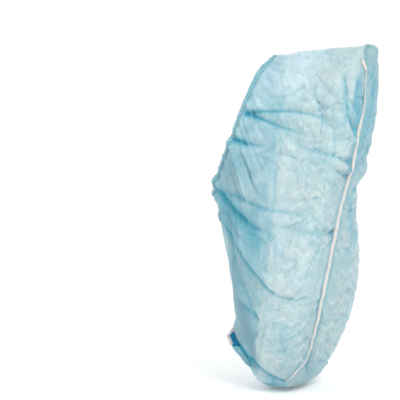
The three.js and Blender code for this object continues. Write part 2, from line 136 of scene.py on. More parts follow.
# The folds. depth is less than 0 for a crease, width is how far it reaches to each side, sharp says
# how much of it is a crease with a thin bottom, lean is the side where the cloth swells beside it,
# start and end are its strength at the ends of its path, and path holds points as (along, share).
FOLD_COLUMNS = ("side", "depth", "width", "sharp", "lean", "start", "end", "path")
FOLDS = (
    # The crease beside the seam at the heel, and the swell next to it.
    (
        NEAR, -4.4, 9, 0.8, 1, 0.4, 0.75,
        ((36, 0.35), (46, 0.315), (56, 0.28), (67, 0.23), (75, 0.165), (82, 0.08)),
    ),
    (NEAR, -1.8, 6, 0.6, -1, 0.5, 1.0, ((32, 0.10), (45, 0.09), (58, 0.075), (68, 0.055))),
    (NEAR, 2.2, 12, 0.1, 0, 0.7, 0.3, ((34, 0.46), (62, 0.37), (84, 0.24))),
    # The fan of creases from the collar towards the ankle.
    (NEAR, -3.4, 8, 0.8, 1, 1.0, 0.3, ((84, 0.97), (80, 0.84), (75, 0.66), (74, 0.46), (80, 0.34))),
    (NEAR, -4.2, 8, 0.9, -1, 1.0, 0.2, ((86, 0.97), (88, 0.88), (90, 0.77), (92, 0.60), (92, 0.49))),
    (NEAR, -4.5, 8, 0.7, 1, 1.0, 0.0, ((112, 0.99), (113, 0.93), (112, 0.84), (110, 0.76))),
    (NEAR, -2.6, 8, 0.6, 1, 0.5, 0.2, ((96, 0.66), (99, 0.58), (98, 0.50))),
    # The creases that run on to the sole seam.
    (NEAR, -3.2, 8, 0.9, 1, 0.3, 1.0, ((101, 0.62), (104, 0.52), (104, 0.41), (106, 0.25), (112, 0.06))),
    (NEAR, -2.2, 7, 0.8, -1, 0.2, 1.0, ((114, 0.31), (119, 0.22), (125, 0.03))),
    (NEAR, -2.0, 9, 0.3, 0, 0.4, 0.6, ((92, 0.74), (106, 0.69), (131, 0.69), (158, 0.65))),
    (NEAR, -2.8, 8, 0.9, 1, 1.0, 0.3, ((162, 0.98), (164, 0.89), (167, 0.74), (165, 0.58), (163, 0.42))),
    (NEAR, -1.8, 7, 0.9, -1, 0.2, 0.8, ((181, 0.69), (177, 0.45), (177, 0.25), (179, 0.03))),
    # The deep fold over the instep, and the ridge and crease beside it.
    (
        NEAR, -6.5, 8, 0.8, -1, 1.0, 0.15,
        ((165, 0.99), (172, 0.94), (180, 0.87), (186, 0.75), (190, 0.60)),
    ),
    (NEAR, 3.2, 6, 0.3, 0, 1.0, 0.2, ((171, 1.00), (181, 0.94), (192, 0.86), (200, 0.76))),
    (NEAR, -3.6, 6, 0.9, 1, 1.0, 0.2, ((176, 0.98), (184, 0.93), (193, 0.87), (204, 0.77))),
    # The long satin ridge down to the toe, and its crease.
    (NEAR, 3.4, 8, 0.2, 0, 1.0, 0.3, ((186, 0.96), (200, 0.89), (214, 0.78), (225, 0.66), (230, 0.52))),
    (
        NEAR, -4.6, 8, 0.9, -1, 1.0, 0.35,
        ((193, 0.94), (207, 0.86), (221, 0.74), (231, 0.62), (237, 0.50), (239, 0.38), (236, 0.19)),
    ),
    (NEAR, -2.6, 9, 0.5, 1, 0.8, 0.2, ((206, 0.93), (224, 0.84), (243, 0.74), (258, 0.66))),
    (NEAR, -3.2, 9, 0.7, 1, 0.4, 0.6, ((226, 0.92), (240, 0.87), (254, 0.80), (262, 0.70), (268, 0.57))),
    (NEAR, 2.4, 9, 0.2, 0, 0.5, 0.4, ((222, 0.92), (246, 0.79), (258, 0.66), (264, 0.54))),
    # The curved creases of the toe.
    (NEAR, -2.4, 7, 0.8, 1, 0.2, 0.7, ((290, 0.47), (284, 0.38), (277, 0.30), (270, 0.23))),
    (NEAR, -2.0, 7, 0.7, -1, 0.5, 0.5, ((290, 0.36), (284, 0.26), (277, 0.14))),
    (NEAR, -2.2, 7, 0.7, 1, 0.3, 0.8, ((315, 0.34), (307, 0.25), (295, 0.13))),
    (NEAR, 4.6, 15, 0.0, 0, 0.7, 0.8, ((324, 0.46), (318, 0.56), (309, 0.65), (301, 0.72), (294, 0.78))),
    (NEAR, -3.6, 7, 0.9, 1, 1.0, 1.0, ((312, 0.62), (313, 0.54), (316, 0.46), (320, 0.40), (322, 0.33))),
    (NEAR, -2.4, 5, 0.9, 1, 0.3, 0.9, ((303, 0.17), (309, 0.24), (315, 0.29), (321, 0.32))),
    (NEAR, -1.6, 4, 0.9, -1, 0.6, 1.0, ((329, 0.45), (328, 0.41), (326, 0.37))),
    (NEAR, -2.0, 8, 0.6, 1, 0.5, 0.5, ((300, 0.64), (286, 0.60), (276, 0.50))),
    (NEAR, -2.0, 9, 0.5, 1, 0.6, 0.3, ((280, 0.82), (285, 0.72), (284, 0.60))),
    # The pointed corner at the heel.
    (FAR, 5.4, 10, 0.4, 0, 0.5, 0.6, ((12, 0.15), (9.5, 0.205), (9, 0.26), (10, 0.315), (13, 0.36))),
    # The far side.
    (FAR, -2.0, 8, 0.8, 1, 1.0, 0.4, ((198, 0.05), (196, 0.15), (194, 0.26))),
    (FAR, -3.0, 12, 0.5, 0, 1.0, 1.0, ((140, 0.14), (138, 0.22), (136, 0.32), (132, 0.44))),
    (FAR, 2.4, 10, 0.1, 0, 1.0, 1.0, ((118, 0.10), (120, 0.24), (116, 0.40))),
    (FAR, -2.0, 9, 0.7, 1, 0.8, 0.4, ((87, 0.09), (70, 0.18), (55, 0.26))),
    (FAR, -3.6, 13, 0.6, 1, 1.0, 0.4, ((110, 0.97), (120, 0.84), (134, 0.70), (150, 0.56))),
    (FAR, 2.6, 9, 0.2, 0, 1.0, 0.2, ((124, 0.97), (134, 0.84), (148, 0.71))),
    (FAR, -3.4, 12, 0.6, -1, 1.0, 0.3, ((182, 0.95), (200, 0.82), (226, 0.68), (256, 0.52))),
    (FAR, -3.0, 9, 0.7, 1, 1.0, 0.2, ((160, 0.98), (172, 0.86), (190, 0.72))),
    (FAR, -2.6, 9, 0.7, 1, 0.6, 0.4, ((232, 0.90), (256, 0.78), (282, 0.62), (300, 0.44))),
    (FAR, -3.0, 12, 0.5, 1, 1.0, 0.5, ((36, 0.95), (38, 0.78), (42, 0.62), (52, 0.44))),
    (FAR, -2.6, 9, 0.6, -1, 1.0, 0.2, ((62, 0.97), (66, 0.80), (76, 0.62))),
)

# How the cloth beside a leaning fold swells: its height against the fold's depth, and where its
# middle is and how far it spreads, both against the fold's width.
SWELL = 0.42
SWELL_AT = 0.95
SWELL_SPREAD = 0.5

# A crease's line of painted shade reaches this share of its width and is drawn in by this power. A crease
# this deep is fully shaded, and a deeper one is at most this much darker.
DARK_WIDTH = 0.6
DARK_POWER = 3.0
DARK_DEPTH = -2.9
DARKEST = 1.2

# The power that gives a crease its thin bottom, and the steps in each stretch of a fold's path.
THIN_POWER = 2.6
FOLD_STEPS = 4

# How far it is up the cloth from the seam to the collar, on the sides.
CLOTH_HEIGHT = 150

# Where the printed sole ends on each side, as a share of the cloth at each place along the foot.
PRINT_EDGE = table(
    ("along", "near", "far"),
    (
        (0, 0.60, 0.50),
        (60, 0.72, 0.46),
        (94, 0.74, 0.44),
        (158, 0.65, 0.42),
        (206, 0.58, 0.42),
        (259, 0.55, 0.42),
        (300, 0.54, 0.40),
        (330, 0.46, 0.36),
    ),
)

# How far the cloth beside the seam is left plain on each side. By the heel on the near side it is
# wider, as painted shade on the panel beside the heel's crease.
SEAM_STRIP = table(
    ("along", "near", "far"),
    (
        (0, 4, 4),
        (26, 14, 8),
        (50, 24, 8),
        (72, 20, 9),
        (96, 14, 9),
        (200, 12, 8),
        (300, 12, 7),
        (340, 6, 5),
    ),
)

# How pale the print is along the foot on the far side.
FAR_PRINT = table(("along", "pale"), ((0, 0.30), (100, 0.40), (160, 0.70), (250, 0.85), (340, 0.60)))

# Soft patches of the cloth with paths like the folds': painted shade in the crease colour, lighter
# patches, and dim patches of painted shade where the cloth turns from the light.
PATCH_COLUMNS = ("side", "strength", "width", "path")
SHADES = (
    (NEAR, 0.55, 13, ((168, 0.99), (176, 0.92), (186, 0.82), (196, 0.70))),
    (NEAR, 0.45, 9, ((182, 0.99), (196, 0.91), (210, 0.83))),
    (NEAR, 0.50, 9, ((38, 0.14), (52, 0.13), (66, 0.09), (80, 0.05))),
    (NEAR, 0.35, 7, ((84, 0.04), (140, 0.03), (210, 0.03), (290, 0.04))),
    (NEAR, 0.50, 6, ((86, 0.98), (89, 0.90))),
    (NEAR, 0.55, 6, ((112, 0.99), (113, 0.93))),
    (NEAR, 0.25, 8, ((188, 0.62), (200, 0.50))),
    (NEAR, 0.60, 10, ((331, 0.34), (326, 0.38), (332, 0.42))),
    (NEAR, 0.85, 7, ((324, 0.49), (319, 0.56), (311, 0.645), (303, 0.71))),
    (FAR, 0.40, 10, ((30, 0.14), (60, 0.12), (90, 0.08))),
    (FAR, 0.35, 8, ((150, 0.10), (176, 0.12), (190, 0.22))),
)
BLEACHES = (
    (NEAR, 0.60, 34, ((10, 0.80), (26, 0.72), (44, 0.68))),
    (NEAR, 0.25, 18, ((50, 0.94), (84, 0.92), (112, 0.86))),
    (NEAR, 0.22, 16, ((112, 0.66), (150, 0.62), (190, 0.54))),
    (NEAR, 0.30, 13, ((188, 0.54), (199, 0.50))),
    (NEAR, 0.30, 16, ((56, 0.47), (66, 0.43))),
    (NEAR, 0.20, 14, ((207, 0.52), (243, 0.45), (291, 0.40))),
    (NEAR, 0.55, 6, ((318, 0.61), (320, 0.53), (324, 0.46), (327, 0.40))),
)
DIMS = (
    (NEAR, 0.60, 18, ((140, 0.97), (180, 0.92), (207, 0.88), (255, 0.80), (294, 0.74))),
    (NEAR, 0.35, 14, ((156, 0.83), (171, 0.80), (195, 0.75), (204, 0.73))),
    (NEAR, 0.35, 30, ((235, 0.74), (270, 0.66), (305, 0.60))),
    (NEAR, 0.70, 14, ((268, 0.72), (290, 0.66), (312, 0.55))),
    (NEAR, 0.30, 30, ((130, 0.16), (170, 0.16), (220, 0.10), (300, 0.04))),
    (NEAR, 0.30, 34, ((262, 0.16), (290, 0.20), (318, 0.24))),
    (NEAR, 0.40, 20, ((326, 0.20), (330, 0.32))),
    (FAR, 0.50, 60, ((20, 0.10), (100, 0.12), (170, 0.12), (250, 0.12), (315, 0.10))),
    (FAR, 0.25, 26, ((14, 0.22), (44, 0.18))),
)

# The tape's route: along the foot, and across the seam on the cloth, less than 0 on the near side.
TAPE_PATH = table(
    ("stop", "along", "across"),
    (
        (0, 19, -11.5),
        (0.6, 24, -4),
        (1, 28, 3.4),
        (2, 38, 3),
        (3, 56, 2.6),
        (4, 66, 1),
        (5, 78, -2),
        (6, 98, -1),
        (7, 130, 0),
        (8, 200, 0),
        (9, 245, -1.5),
        (10, 280, -2),
        (11, 297, -3),
        (12, 301, -10),
        (13, 304, -18),
        (14, 308, -24.5),
        (15, 312, -30),
        (16, 316, -35),
        (17, 320, -39.5),
        (18, 322, -43.5),
    ),
)
TAPE_WIDTHS = table(
    ("run", "width"),
    (
        (0.00, 4.2),
        (0.035, 4.4),
        (0.05, 1.5),
        (0.17, 1.7),
        (0.20, 3.9),
        (0.50, 4.6),
        (0.62, 6.2),
        (0.79, 7.0),
        (0.84, 4.2),
        (0.88, 1.8),
        (1.00, 1.2),
    ),
)

# The flap at the toe, and the tape's tail on it: reach is how far the edge stands off the cloth, and
# turn how far it leans over.
FLAP = table(
    ("along", "share", "reach", "turn"),
    (
        (331, 0.42, 0.6, 0),
        (331, 0.46, 1.4, 1),
        (327, 0.52, 2.6, 3),
        (320, 0.60, 7.5, 5),
        (313, 0.66, 9.5, 4),
        (305, 0.71, 11.0, 2),
        (300, 0.745, 10.6, 2),
        (297, 0.765, 10.2, 5),
        (295, 0.776, 8.0, 5),
    ),
)
TAIL = table(
    ("along", "share", "reach", "turn"),
    (
        (302, 0.735, 12.0, 7.0),
        (299.5, 0.750, 11.4, 7.4),
        (297, 0.765, 11.2, 8.0),
        (294.5, 0.777, 7.0, 5.0),
        (292.5, 0.788, 3.4, 3.0),
        (291, 0.795, 1.0, 1.0),
    ),
)


def linear(code):
    """A hex colour as linear red, green and blue."""
    parts = [int(code[i : i + 2], 16) / 255 for i in (0, 2, 4)]
    return tuple(c / 12.92 if c <= 0.04045 else ((c + 0.055) / 1.055) ** 2.4 for c in parts)


def colour(name, description, code):
    """A colour that a user would change."""
    return bpy.props.FloatVectorProperty(
        name=name, description=description, subtype="COLOR", size=3, min=0, max=1, default=linear(code)
    )


def length(name, description, millimetres):
    """A length that a user would change, in metres."""
    return bpy.props.FloatProperty(
        name=name, description=description, default=millimetres * MM, min=0, unit="LENGTH", precision=4
    )


def number(name, description, value, unit="NONE"):
    """A strength or an angle that a user would change."""
    return bpy.props.FloatProperty(name=name, description=description, default=value, unit=unit)


class CoverShape(bpy.types.PropertyGroup):
    """The cloth's wall, gathers and crumples, and the pieces sewn to it and printed on it."""

    wall: length("Wall", "Thickness of the nonwoven cloth", 0.7)
    gather: length("Gather depth", "Height of the even gathers under the elastic", 1.0)
    pleat: length("Pleat depth", "Largest depth of the loose pleats that the elastic pulls in", 2.6)
    crumple: length("Crumple height", "Height of the cloth's broad crumples", 1.1)
    wrinkle: length("Wrinkle height", "Height of the cloth's small wrinkles", 0.25)
    hem_height: length("Hem height", "Height of the elastic hem", 5.0)
    hem_thick: length("Hem thickness", "Thickness of the elastic hem", 3.0)
    tape_thick: length("Tape thickness", "Thickness of the seam tape at its middle", 2.1)
    rib_band: length("Rib width", "Width of a printed zigzag rib along the foot", 4.4)
    rib_lift: length("Rib height", "How far a printed rib stands off the cloth", 0.12)
    seed: bpy.props.IntProperty(
        name="Seed", description="Number that sets the loose pleats, creases and crumples", default=11
    )


class CoverColours(bpy.types.PropertyGroup):
    """The colours of the cloth, the tape, the ribs and the elastic."""

    cloth: colour("Cloth", "Colour of the plain cloth on the sides", "92B6C1")
    printed: colour("Printed cloth", "Colour of the cloth inside the printed sole", "B3C7CB")
    # Painted shade: the colour of the shade deep in the cloth's folds, hollows and wrinkles.
    crease: colour("Crease", "Colour that the cloth has deep in its folds", "0C98B2")
    deep: colour("Deeper cloth", "Colour of the patches where the cloth's fibres lie thick", "66B2C1")
    pale: colour("Pale cloth", "Colour of the patches where the cloth lies thin over the shoe", "C8D8D2")
    # The colour of the cloth's lighter patches.
    bleached: colour("Bleached cloth", "Colour of the cloth where wear has bleached it", "CBDBE3")
    # Painted shadow inside the toe's pocket.
    pocket: colour("Pocket", "Colour of the cloth inside the toe's pocket", "0080AA")
    tape: colour("Tape", "Colour of the seam tape", "DDDAD4")
    rib: colour("Rib", "Colour of the printed ribs", "D6E2E2")
    elastic: colour("Elastic", "Colour of the elastic hem", "6FB0C0")
    thread: colour("Thread", "Colour of the hem's thread", "A9CDD6")


class CoverStage(bpy.types.PropertyGroup):
    """The floor, the lights and the camera."""

    floor: colour("Floor", "Colour of the floor", "F4F4F4")
    sky: number("Sky", "Strength of the light all round", 1.0)
    key: number("Key light", "Power of the large soft light", 6.0)
    azimuth: number("Azimuth", "Where the camera stands round the cover", math.radians(32.9), "ROTATION")
    elevation: number("Elevation", "How far the camera looks down", math.radians(5), "ROTATION")
    distance: length("Distance", "How far the camera is from the cover", 1434)
    aside: length("Aside", "How far right of the picture's middle the cover stands", 90.7)
    below: length("Below", "How far below the picture's middle the cover's own middle is", 15.0)
    lens: number("Lens", "Focal length in millimetres", 137.3)


# The plain cloth, before its folds.

TINY = 1e-12


def curve(rows, base, key, at):
    """A smooth curve through a table's column `key`, read at an array of places of `base`."""
    x, y = rows[base], rows[key]
    slope = np.gradient(y, x)
    slope[1:-1] = (y[2:] - y[:-2]) / (x[2:] - x[:-2])
    i = np.clip(np.searchsorted(x, at, side="right") - 1, 0, len(x) - 2)
    span = x[i + 1] - x[i]
    t = (at - x[i]) / span
    s = 1 - t
    start = s * s * (1 + 2 * t) * y[i] + s * s * t * span * slope[i]
    return start + t * t * (3 - 2 * t) * y[i + 1] - t * t * s * span * slope[i + 1]


def on_side(rows, along, near):
    """A table's near column, or its far one where near is false, read along the foot."""
    return np.where(near, curve(rows, "along", "near", along), curve(rows, "along", "far", along))


def blunt(wave, power):
    """A sine or cosine that goes round a squarer shape than a circle, for a power under 1."""
    return np.sign(wave) * np.abs(wave) ** power


def halves(rows, first, second):
    """The middle of two columns' values, and half of what the second is above the first."""
    return (rows[second] + rows[first]) / 2, (rows[second] - rows[first]) / 2


def plain(angle, share):
    """Places of the cloth without folds, in the foot's frame."""
    angle, share = np.broadcast_arrays(np.asarray(angle, float), np.asarray(share, float))
    at = {key: curve(LOOPS, "share", key, share) for key in LOOPS if key != "share"}
    ahead, aside = np.cos(angle), np.sin(angle)
    middle, half = halves(at, "heel_round", "toe_round")
    rounded = middle + half * ahead
    end = blunt(ahead, rounded)
    middle, half = halves(at, "heel", "toe")
    along = middle + half * end
    wide = np.where(aside < 0, at["near"], at["far"])
    narrowing = (on_side(PLAN, along, aside < 0) - 1) * np.minimum(1, (1 - share) / PLAN_FADE)
    across = wide * blunt(aside, rounded) * (1 + narrowing)
    middle, tilt = halves(at, "heel_rise", "toe_rise")
    wave = curve(KEEL, "along", "rise", along) * np.maximum(0, 1 - share / KEEL_TOP)
    up = at["side_rise"] + tilt * end + (middle - at["side_rise"]) * end * end + wave
    return np.stack([along, across, up], axis=-1)


def unit(vectors):
    """Vectors made one long."""
    return vectors / np.maximum(np.linalg.norm(vectors, axis=-1, keepdims=True), TINY)


# How far apart the places are that give a direction, in angle and share, and the lowest share.
PROBE = 0.02
LOWEST_PROBE = 0.004

# How often the range of angles is halved to find one.
HALVINGS = 26


def side_outward(angle, share):
    """The outward direction of the plain cloth on one side."""
    low = np.minimum(np.maximum(share - PROBE / 2, LOWEST_PROBE), 1 - PROBE)
    level = low + PROBE / 2
    round_it = plain(angle + PROBE, level) - plain(angle - PROBE, level)
    up = plain(angle, low + PROBE) - plain(angle, low)
    return unit(np.cross(round_it, up))


def outward(angle, share):
    """The outward direction. On the sole seam it lies midway between those of the two sides."""
    angle, share = np.broadcast_arrays(np.asarray(angle, float), np.asarray(share, float))
    away = side_outward(angle, share)
    both = unit(away + side_outward(-angle, share))
    return np.where((share > 0)[..., None], away, both)


def angle_at(side, along, share):
    """The angles at which a side's loops reach `along`."""
    along, share = np.broadcast_arrays(np.asarray(along, float), np.asarray(share, float))
    toe, heel = np.zeros(along.shape), np.full(along.shape, math.pi)
    for _ in range(HALVINGS):
        middle = (toe + heel) / 2
        ahead = plain(side * middle, share)[..., 0] > along
        toe, heel = np.where(ahead, middle, toe), np.where(ahead, heel, middle)
    return side * (toe + heel) / 2


def to_part(places):
    """Places of the foot's frame in the part's frame, in metres."""
    p = (np.asarray(places) - COLLAR_CENTRE) * MM
    x = -p[..., 0] * math.sin(LEAN) - p[..., 2] * math.cos(LEAN)
    z = -p[..., 0] * math.cos(LEAN) + p[..., 2] * math.sin(LEAN)
    return np.stack([x, p[..., 1], z], axis=-1)


def directions(vectors):
    """Directions of the foot's frame in the part's frame."""
    return unit(to_part(np.asarray(vectors) + COLLAR_CENTRE))


def smoothstep(at, low, high):
    """0 below low, 1 above high, and a smooth step between."""
    t = np.clip((at - low) / (high - low), 0, 1)
    return t * t * (3 - 2 * t)


def bell(x):
    """1 at 0, and 0 from 1 on to both sides."""
    return np.clip(1 - x * x, 0, 1) ** 2


def hump(off, spread):
    """1 at 0, fading out to both sides."""
    return np.exp(-((off / spread) ** 2))


def waves(rows, at):
    """The sum of sine waves, each a row of its height, length and phase."""
    return sum(height * np.sin(at / size + phase) for height, size, phase in rows)


# The folds, gathers and crumples.


def fold_lines(folds):
    """Each fold's path as short steps over the plain cloth."""
    steps = []
    for fold in folds:
        points = table(("stop", "along", "share"), [(i, *p) for i, p in enumerate(fold["path"])])
        last = points["stop"][-1]
        at = np.linspace(0, last, round(FOLD_STEPS * last) + 1)
        steps.append(np.stack([curve(points, "stop", key, at) for key in ("along", "share")]))
    counts = [step.shape[1] for step in steps]
    side = np.repeat([fold["side"] for fold in folds], counts)
    along, share = np.concatenate(steps, axis=1)
    share = np.clip(share, 0, 1)
    return np.split(plain(angle_at(side, along, share), share), np.cumsum(counts)[:-1])


# The loose creases: how many are tried, the ranges of their middles, half-lengths, depths and widths,
# their side bow as a share of the half-length, and the shares that they stay between. None comes
# nearer to a loop's ends than LOOP_END.
LOOSE_CREASES = 460
LOOSE_ALONG = (16, 328)
LOOSE_SHARE = (0.02, 0.93)
LOOSE_REACH = (6, 24)
LOOSE_DEPTH = (0.35, 1.6)
LOOSE_WIDTH = (2.4, 5.0)
LOOSE_BOW = (-0.25, 0.25)
LOOSE_BETWEEN = (0.01, 0.97)
LOOP_END = 6

# They slant by this many degrees at the heel and by less for each millimetre along the foot, give or
# take some radians. One with this half-length has a depth in the range, and others follow a power.
LOOSE_SLANT = 28
LOOSE_TURN = 0.22
LOOSE_SCATTER = 0.55
LOOSE_USUAL = 18
LOOSE_POWER = 0.7
LOOSE_STOPS = (-1, -0.33, 0.33, 1)
LOOSE_SHARP = 0.8
LOOSE_START = 0.3


def loose_creases(seed):
    """Short creases over the whole cloth, most of them slanting down from the collar to the seam."""
    random = np.random.default_rng(seed + 1)
    found = []
    for _ in range(LOOSE_CREASES):
        side = random.choice((NEAR, FAR))
        along, share = random.uniform(*LOOSE_ALONG), random.uniform(*LOOSE_SHARE)
        heading = math.radians(LOOSE_SLANT - LOOSE_TURN * along) + random.normal(0, LOOSE_SCATTER)
        reach = random.uniform(*LOOSE_REACH)
        bow = random.uniform(*LOOSE_BOW) * reach
        steps = [(t * reach, bow * (1 - t * t)) for t in LOOSE_STOPS]
        ahead, up = math.sin(heading), -math.cos(heading) / CLOTH_HEIGHT
        path = [(along + t * ahead + b * math.cos(heading), share + t * up) for t, b in steps]
        path = [(a, min(max(s, LOOSE_BETWEEN[0]), LOOSE_BETWEEN[1])) for a, s in path]
        depth = -random.uniform(*LOOSE_DEPTH) * (reach / LOOSE_USUAL) ** LOOSE_POWER
        width, lean = random.uniform(*LOOSE_WIDTH), random.choice((-1, 1))
        places = np.array(path)
        heel, toe = (curve(LOOPS, "share", key, places[:, 1]) for key in ("heel", "toe"))
        if np.all((places[:, 0] > heel + LOOP_END) & (places[:, 0] < toe - LOOP_END)):
            found.append((side, depth, width, LOOSE_SHARP, lean, LOOSE_START, 1.0, path))
    return found


def nearest_on(line, places):
    """How far places are from a line, how far along it their nearest points are, and the way there."""
    best = np.full(len(places), np.inf)
    run, way, ahead = np.zeros(len(places)), np.zeros((len(places), 3)), np.zeros((len(places), 3))
    for i, (a, b) in enumerate(zip(line[:-1], line[1:])):
        t = np.clip((places - a) @ (b - a) / max((b - a) @ (b - a), TINY), 0, 1)
        off = places - a - t[:, None] * (b - a)
        distance = np.linalg.norm(off, axis=1)
        closer = distance < best
        best = np.where(closer, distance, best)
        run = np.where(closer, (i + t) / (len(line) - 1), run)
        way[closer] = off[closer]
        ahead[closer] = b - a
    return best, run, way, ahead


def fold_relief(places, away, seed):
    """How far the folds move the cloth at places with outward directions, and their creases' painted
    shade.
    """
    height, dark = np.zeros(len(places)), np.zeros(len(places))
    folds = named_rows(FOLD_COLUMNS, (*FOLDS, *loose_creases(seed)))
    for fold, line in zip(folds, fold_lines(folds)):
        reach = fold["width"] * (SWELL_AT + 2 * SWELL_SPREAD)
        inside = np.all((places > line.min(0) - reach) & (places < line.max(0) + reach), axis=1)
        if not inside.any():
            continue
        distance, run, way, ahead = nearest_on(line, places[inside])
        x = distance / fold["width"]
        thin = np.clip(1 - x, 0, 1) ** THIN_POWER
        shape = fold["sharp"] * thin + (1 - fold["sharp"]) * bell(x)
        side = np.sign(np.einsum("ij,ij->i", np.cross(ahead, way), away[inside]))
        swell = hump(x * side * fold["lean"] - SWELL_AT, SWELL_SPREAD) * abs(fold["lean"])
        strength = fold["start"] + (fold["end"] - fold["start"]) * run
        height[inside] += fold["depth"] * strength * (shape - SWELL * swell)
        # A crease gets a line of painted shade.
        if fold["depth"] < 0:
            full = np.clip(strength * fold["depth"] / DARK_DEPTH, 0, DARKEST) ** (1 / DARK_POWER)
            dark[inside] = np.maximum(dark[inside], np.clip(1 - x / DARK_WIDTH, 0, 1) * full)
    return height, dark


def patched(rows, places):
    """How strong the soft patches of a table are at places."""
    strength = np.zeros(len(places))
    patches = named_rows(PATCH_COLUMNS, rows)
    for patch, line in zip(patches, fold_lines(patches)):
        strength += patch["strength"] * bell(nearest_on(line, places)[0] / patch["width"])
    return np.clip(strength, 0, 1)


# The even gathers start at a share of the cloth, and all of it is calmer from another one on.
GATHERS = 27
GATHER_FROM = 0.82
CALM_FROM = 0.92
RIM_CALM = 0.6

# The loose pleats. Each has a place in its own part of a turn, a drift and a width in turns, a share
# where it runs out, and a part of the largest depth. It widens on its way down.
PLEATS = 70
PLEAT_PLACE = (0.1, 0.9)
PLEAT_DRIFT = (-0.06, 0.06)
PLEAT_BOTTOM = (0.45, 0.9)
PLEAT_WIDTH = (0.003, 0.007)
PLEAT_DEPTH = (0.25, 1.0)
PLEAT_WIDENS = 1.6
PLEAT_FULL = 0.97
PLEAT_POWER = 1.5


def gather_height(turn, share, shape):
    """The even gathers under the elastic, and the loose pleats that run down from it, in mm."""
    height = shape.gather / MM * np.cos(2 * np.pi * GATHERS * turn) * smoothstep(share, GATHER_FROM, 1)
    random = np.random.default_rng(shape.seed)
    for i in range(PLEATS):
        start = (i + random.uniform(*PLEAT_PLACE)) / PLEATS
        drift = random.uniform(*PLEAT_DRIFT)
        bottom = random.uniform(*PLEAT_BOTTOM)
        width = random.uniform(*PLEAT_WIDTH)
        depth = shape.pleat / MM * random.uniform(*PLEAT_DEPTH) * random.choice((-1, 1))
        off = (turn - start - drift * (1 - share) + 0.5) % 1 - 0.5
        across = hump(off, width * (1 + PLEAT_WIDENS * (1 - share)))
        height = height + depth * across * smoothstep(share, bottom, PLEAT_FULL) ** PLEAT_POWER
    return height * (1 - RIM_CALM * smoothstep(share, CALM_FROM, 1))


# The crumples: the size in millimetres of what each noise makes, and its share of the height. The
# warp bends the creases between the cells, and more so the small ones.
WARP_SIZE = 34
WARP = 9
SMALL_WARP = 1.7
FACET_SIZE = 21
FACET_SHARE = 0.55
SOFT_SIZE = 46
SOFT_SHARE = 0.5
SOFT_PLACE = Vector((5, 2, 9))
CREASED_SIZE = 8.5
CREASED_SHARE = 0.9
FINE_SIZE = 3.6
FINE_SHARE = 0.35
CELL_MIDDLE = 0.35

# The cloth is calmer on the sides than on the sole, by half, between these shares.
SIDE_CALM = 0.5
SIDE_FROM = (0.45, 0.7)


def cell_height(place, size):
    """The height at a place of facets with creases between them."""
    nearest = noise.voronoi(place / size)[0]
    return min(1.0, nearest[1] - nearest[0]) - CELL_MIDDLE


def crumple_height(places, share, shape):
    """The broad crumples and small wrinkles of worn nonwoven cloth, in mm."""
    # The vector noise moves with the noise module's own seed, which is the time unless it is set.
    noise.seed_set(shape.seed)
    broad, small = shape.crumple / MM, shape.wrinkle / MM
    heights = np.empty(len(places))
    for i, place in enumerate(map(Vector, places)):
        warp = noise.noise_vector(place / WARP_SIZE) * WARP
        soft = noise.noise(place / SOFT_SIZE + SOFT_PLACE)
        fine = noise.noise(place / FINE_SIZE)
        facets = cell_height(place + warp, FACET_SIZE)
        creased = cell_height(place + warp * SMALL_WARP, CREASED_SIZE)
        heights[i] = broad * (FACET_SHARE * facets + SOFT_SHARE * soft)
        heights[i] += small * (CREASED_SHARE * creased + FINE_SHARE * fine)
    return heights * (1 - SIDE_CALM * smoothstep(share, *SIDE_FROM))


# The seam's puckers: their height, their waves along the foot, and how they fade up the cloth.
PUCKER = 0.30
PUCKER_WAVES = ((1, 2.9, 0), (0.6, 4.7, 1.3), (0.5, 1.9, 0.4))
PUCKER_FADE = 9
PUCKER_FROM = (0.5, 4)


def pucker_height(along, walk):
    """The short puckers that the seam's stitching pulls into the cloth, in mm."""
    wave = PUCKER * waves(PUCKER_WAVES, along)
    return wave * np.exp(-np.abs(walk) / PUCKER_FADE) * smoothstep(np.abs(walk), *PUCKER_FROM)


def relief(angle, share, turn, walk, shape):
    """How far the finished cloth stands off the plain one, in mm, and the painted shade of its folds."""
    place, away = plain(angle, share), outward(angle, share)
    height, dark = fold_relief(place, away, shape.seed)
    height += gather_height(turn, share, shape) + crumple_height(place, share, shape)
    return height + pucker_height(place[:, 0], walk), dark


# The bag's grid of columns round the loops and rows up the cloth, and the parts that measure a loop.
COLUMNS = 440
ROWS = 108
ARC_PARTS = 240


def even_angles(side, shares, steps):
    """For each share, the angles that divide one side of its loop into equal lengths."""
    parts = side * np.pi * np.linspace(0, 1, ARC_PARTS + 1)
    places = plain(parts[None, :], shares[:, None])
    lengths = np.linalg.norm(np.diff(places, axis=1), axis=-1).cumsum(axis=1)
    lengths = np.concatenate([np.zeros((len(shares), 1)), lengths], axis=1)
    wanted = np.linspace(0, 1, steps + 1)
    return np.array([np.interp(wanted * run[-1], run, parts) for run in lengths])


def bag_grid():
    """The angles, shares and turns of the bag's grid, a row for each share."""
    shares = np.linspace(0, 1, ROWS + 1)
    half = COLUMNS // 2
    far, near = even_angles(FAR, shares, half), even_angles(NEAR, shares, half)
    angles = np.concatenate([far, near[:, -2::-1]], axis=1)
    turns = np.arange(COLUMNS + 1) / COLUMNS
    return np.broadcast_arrays(angles, shares[:, None], turns[None, :])


def blurred(field, times):
    """A field on the bag's grid, averaged with its neighbours."""
    for _ in range(times):
        ring = field[:, :-1]
        ring = (np.roll(ring, 1, axis=1) + 2 * ring + np.roll(ring, -1, axis=1)) / 4
        field = np.concatenate([ring, ring[:, :1]], axis=1)
        edged = np.pad(field, ((1, 1), (0, 0)), mode="edge")
        field = (edged[:-2] + 2 * field + edged[2:]) / 4
    return field


# Meshes.

DOUBLES = 1e-6


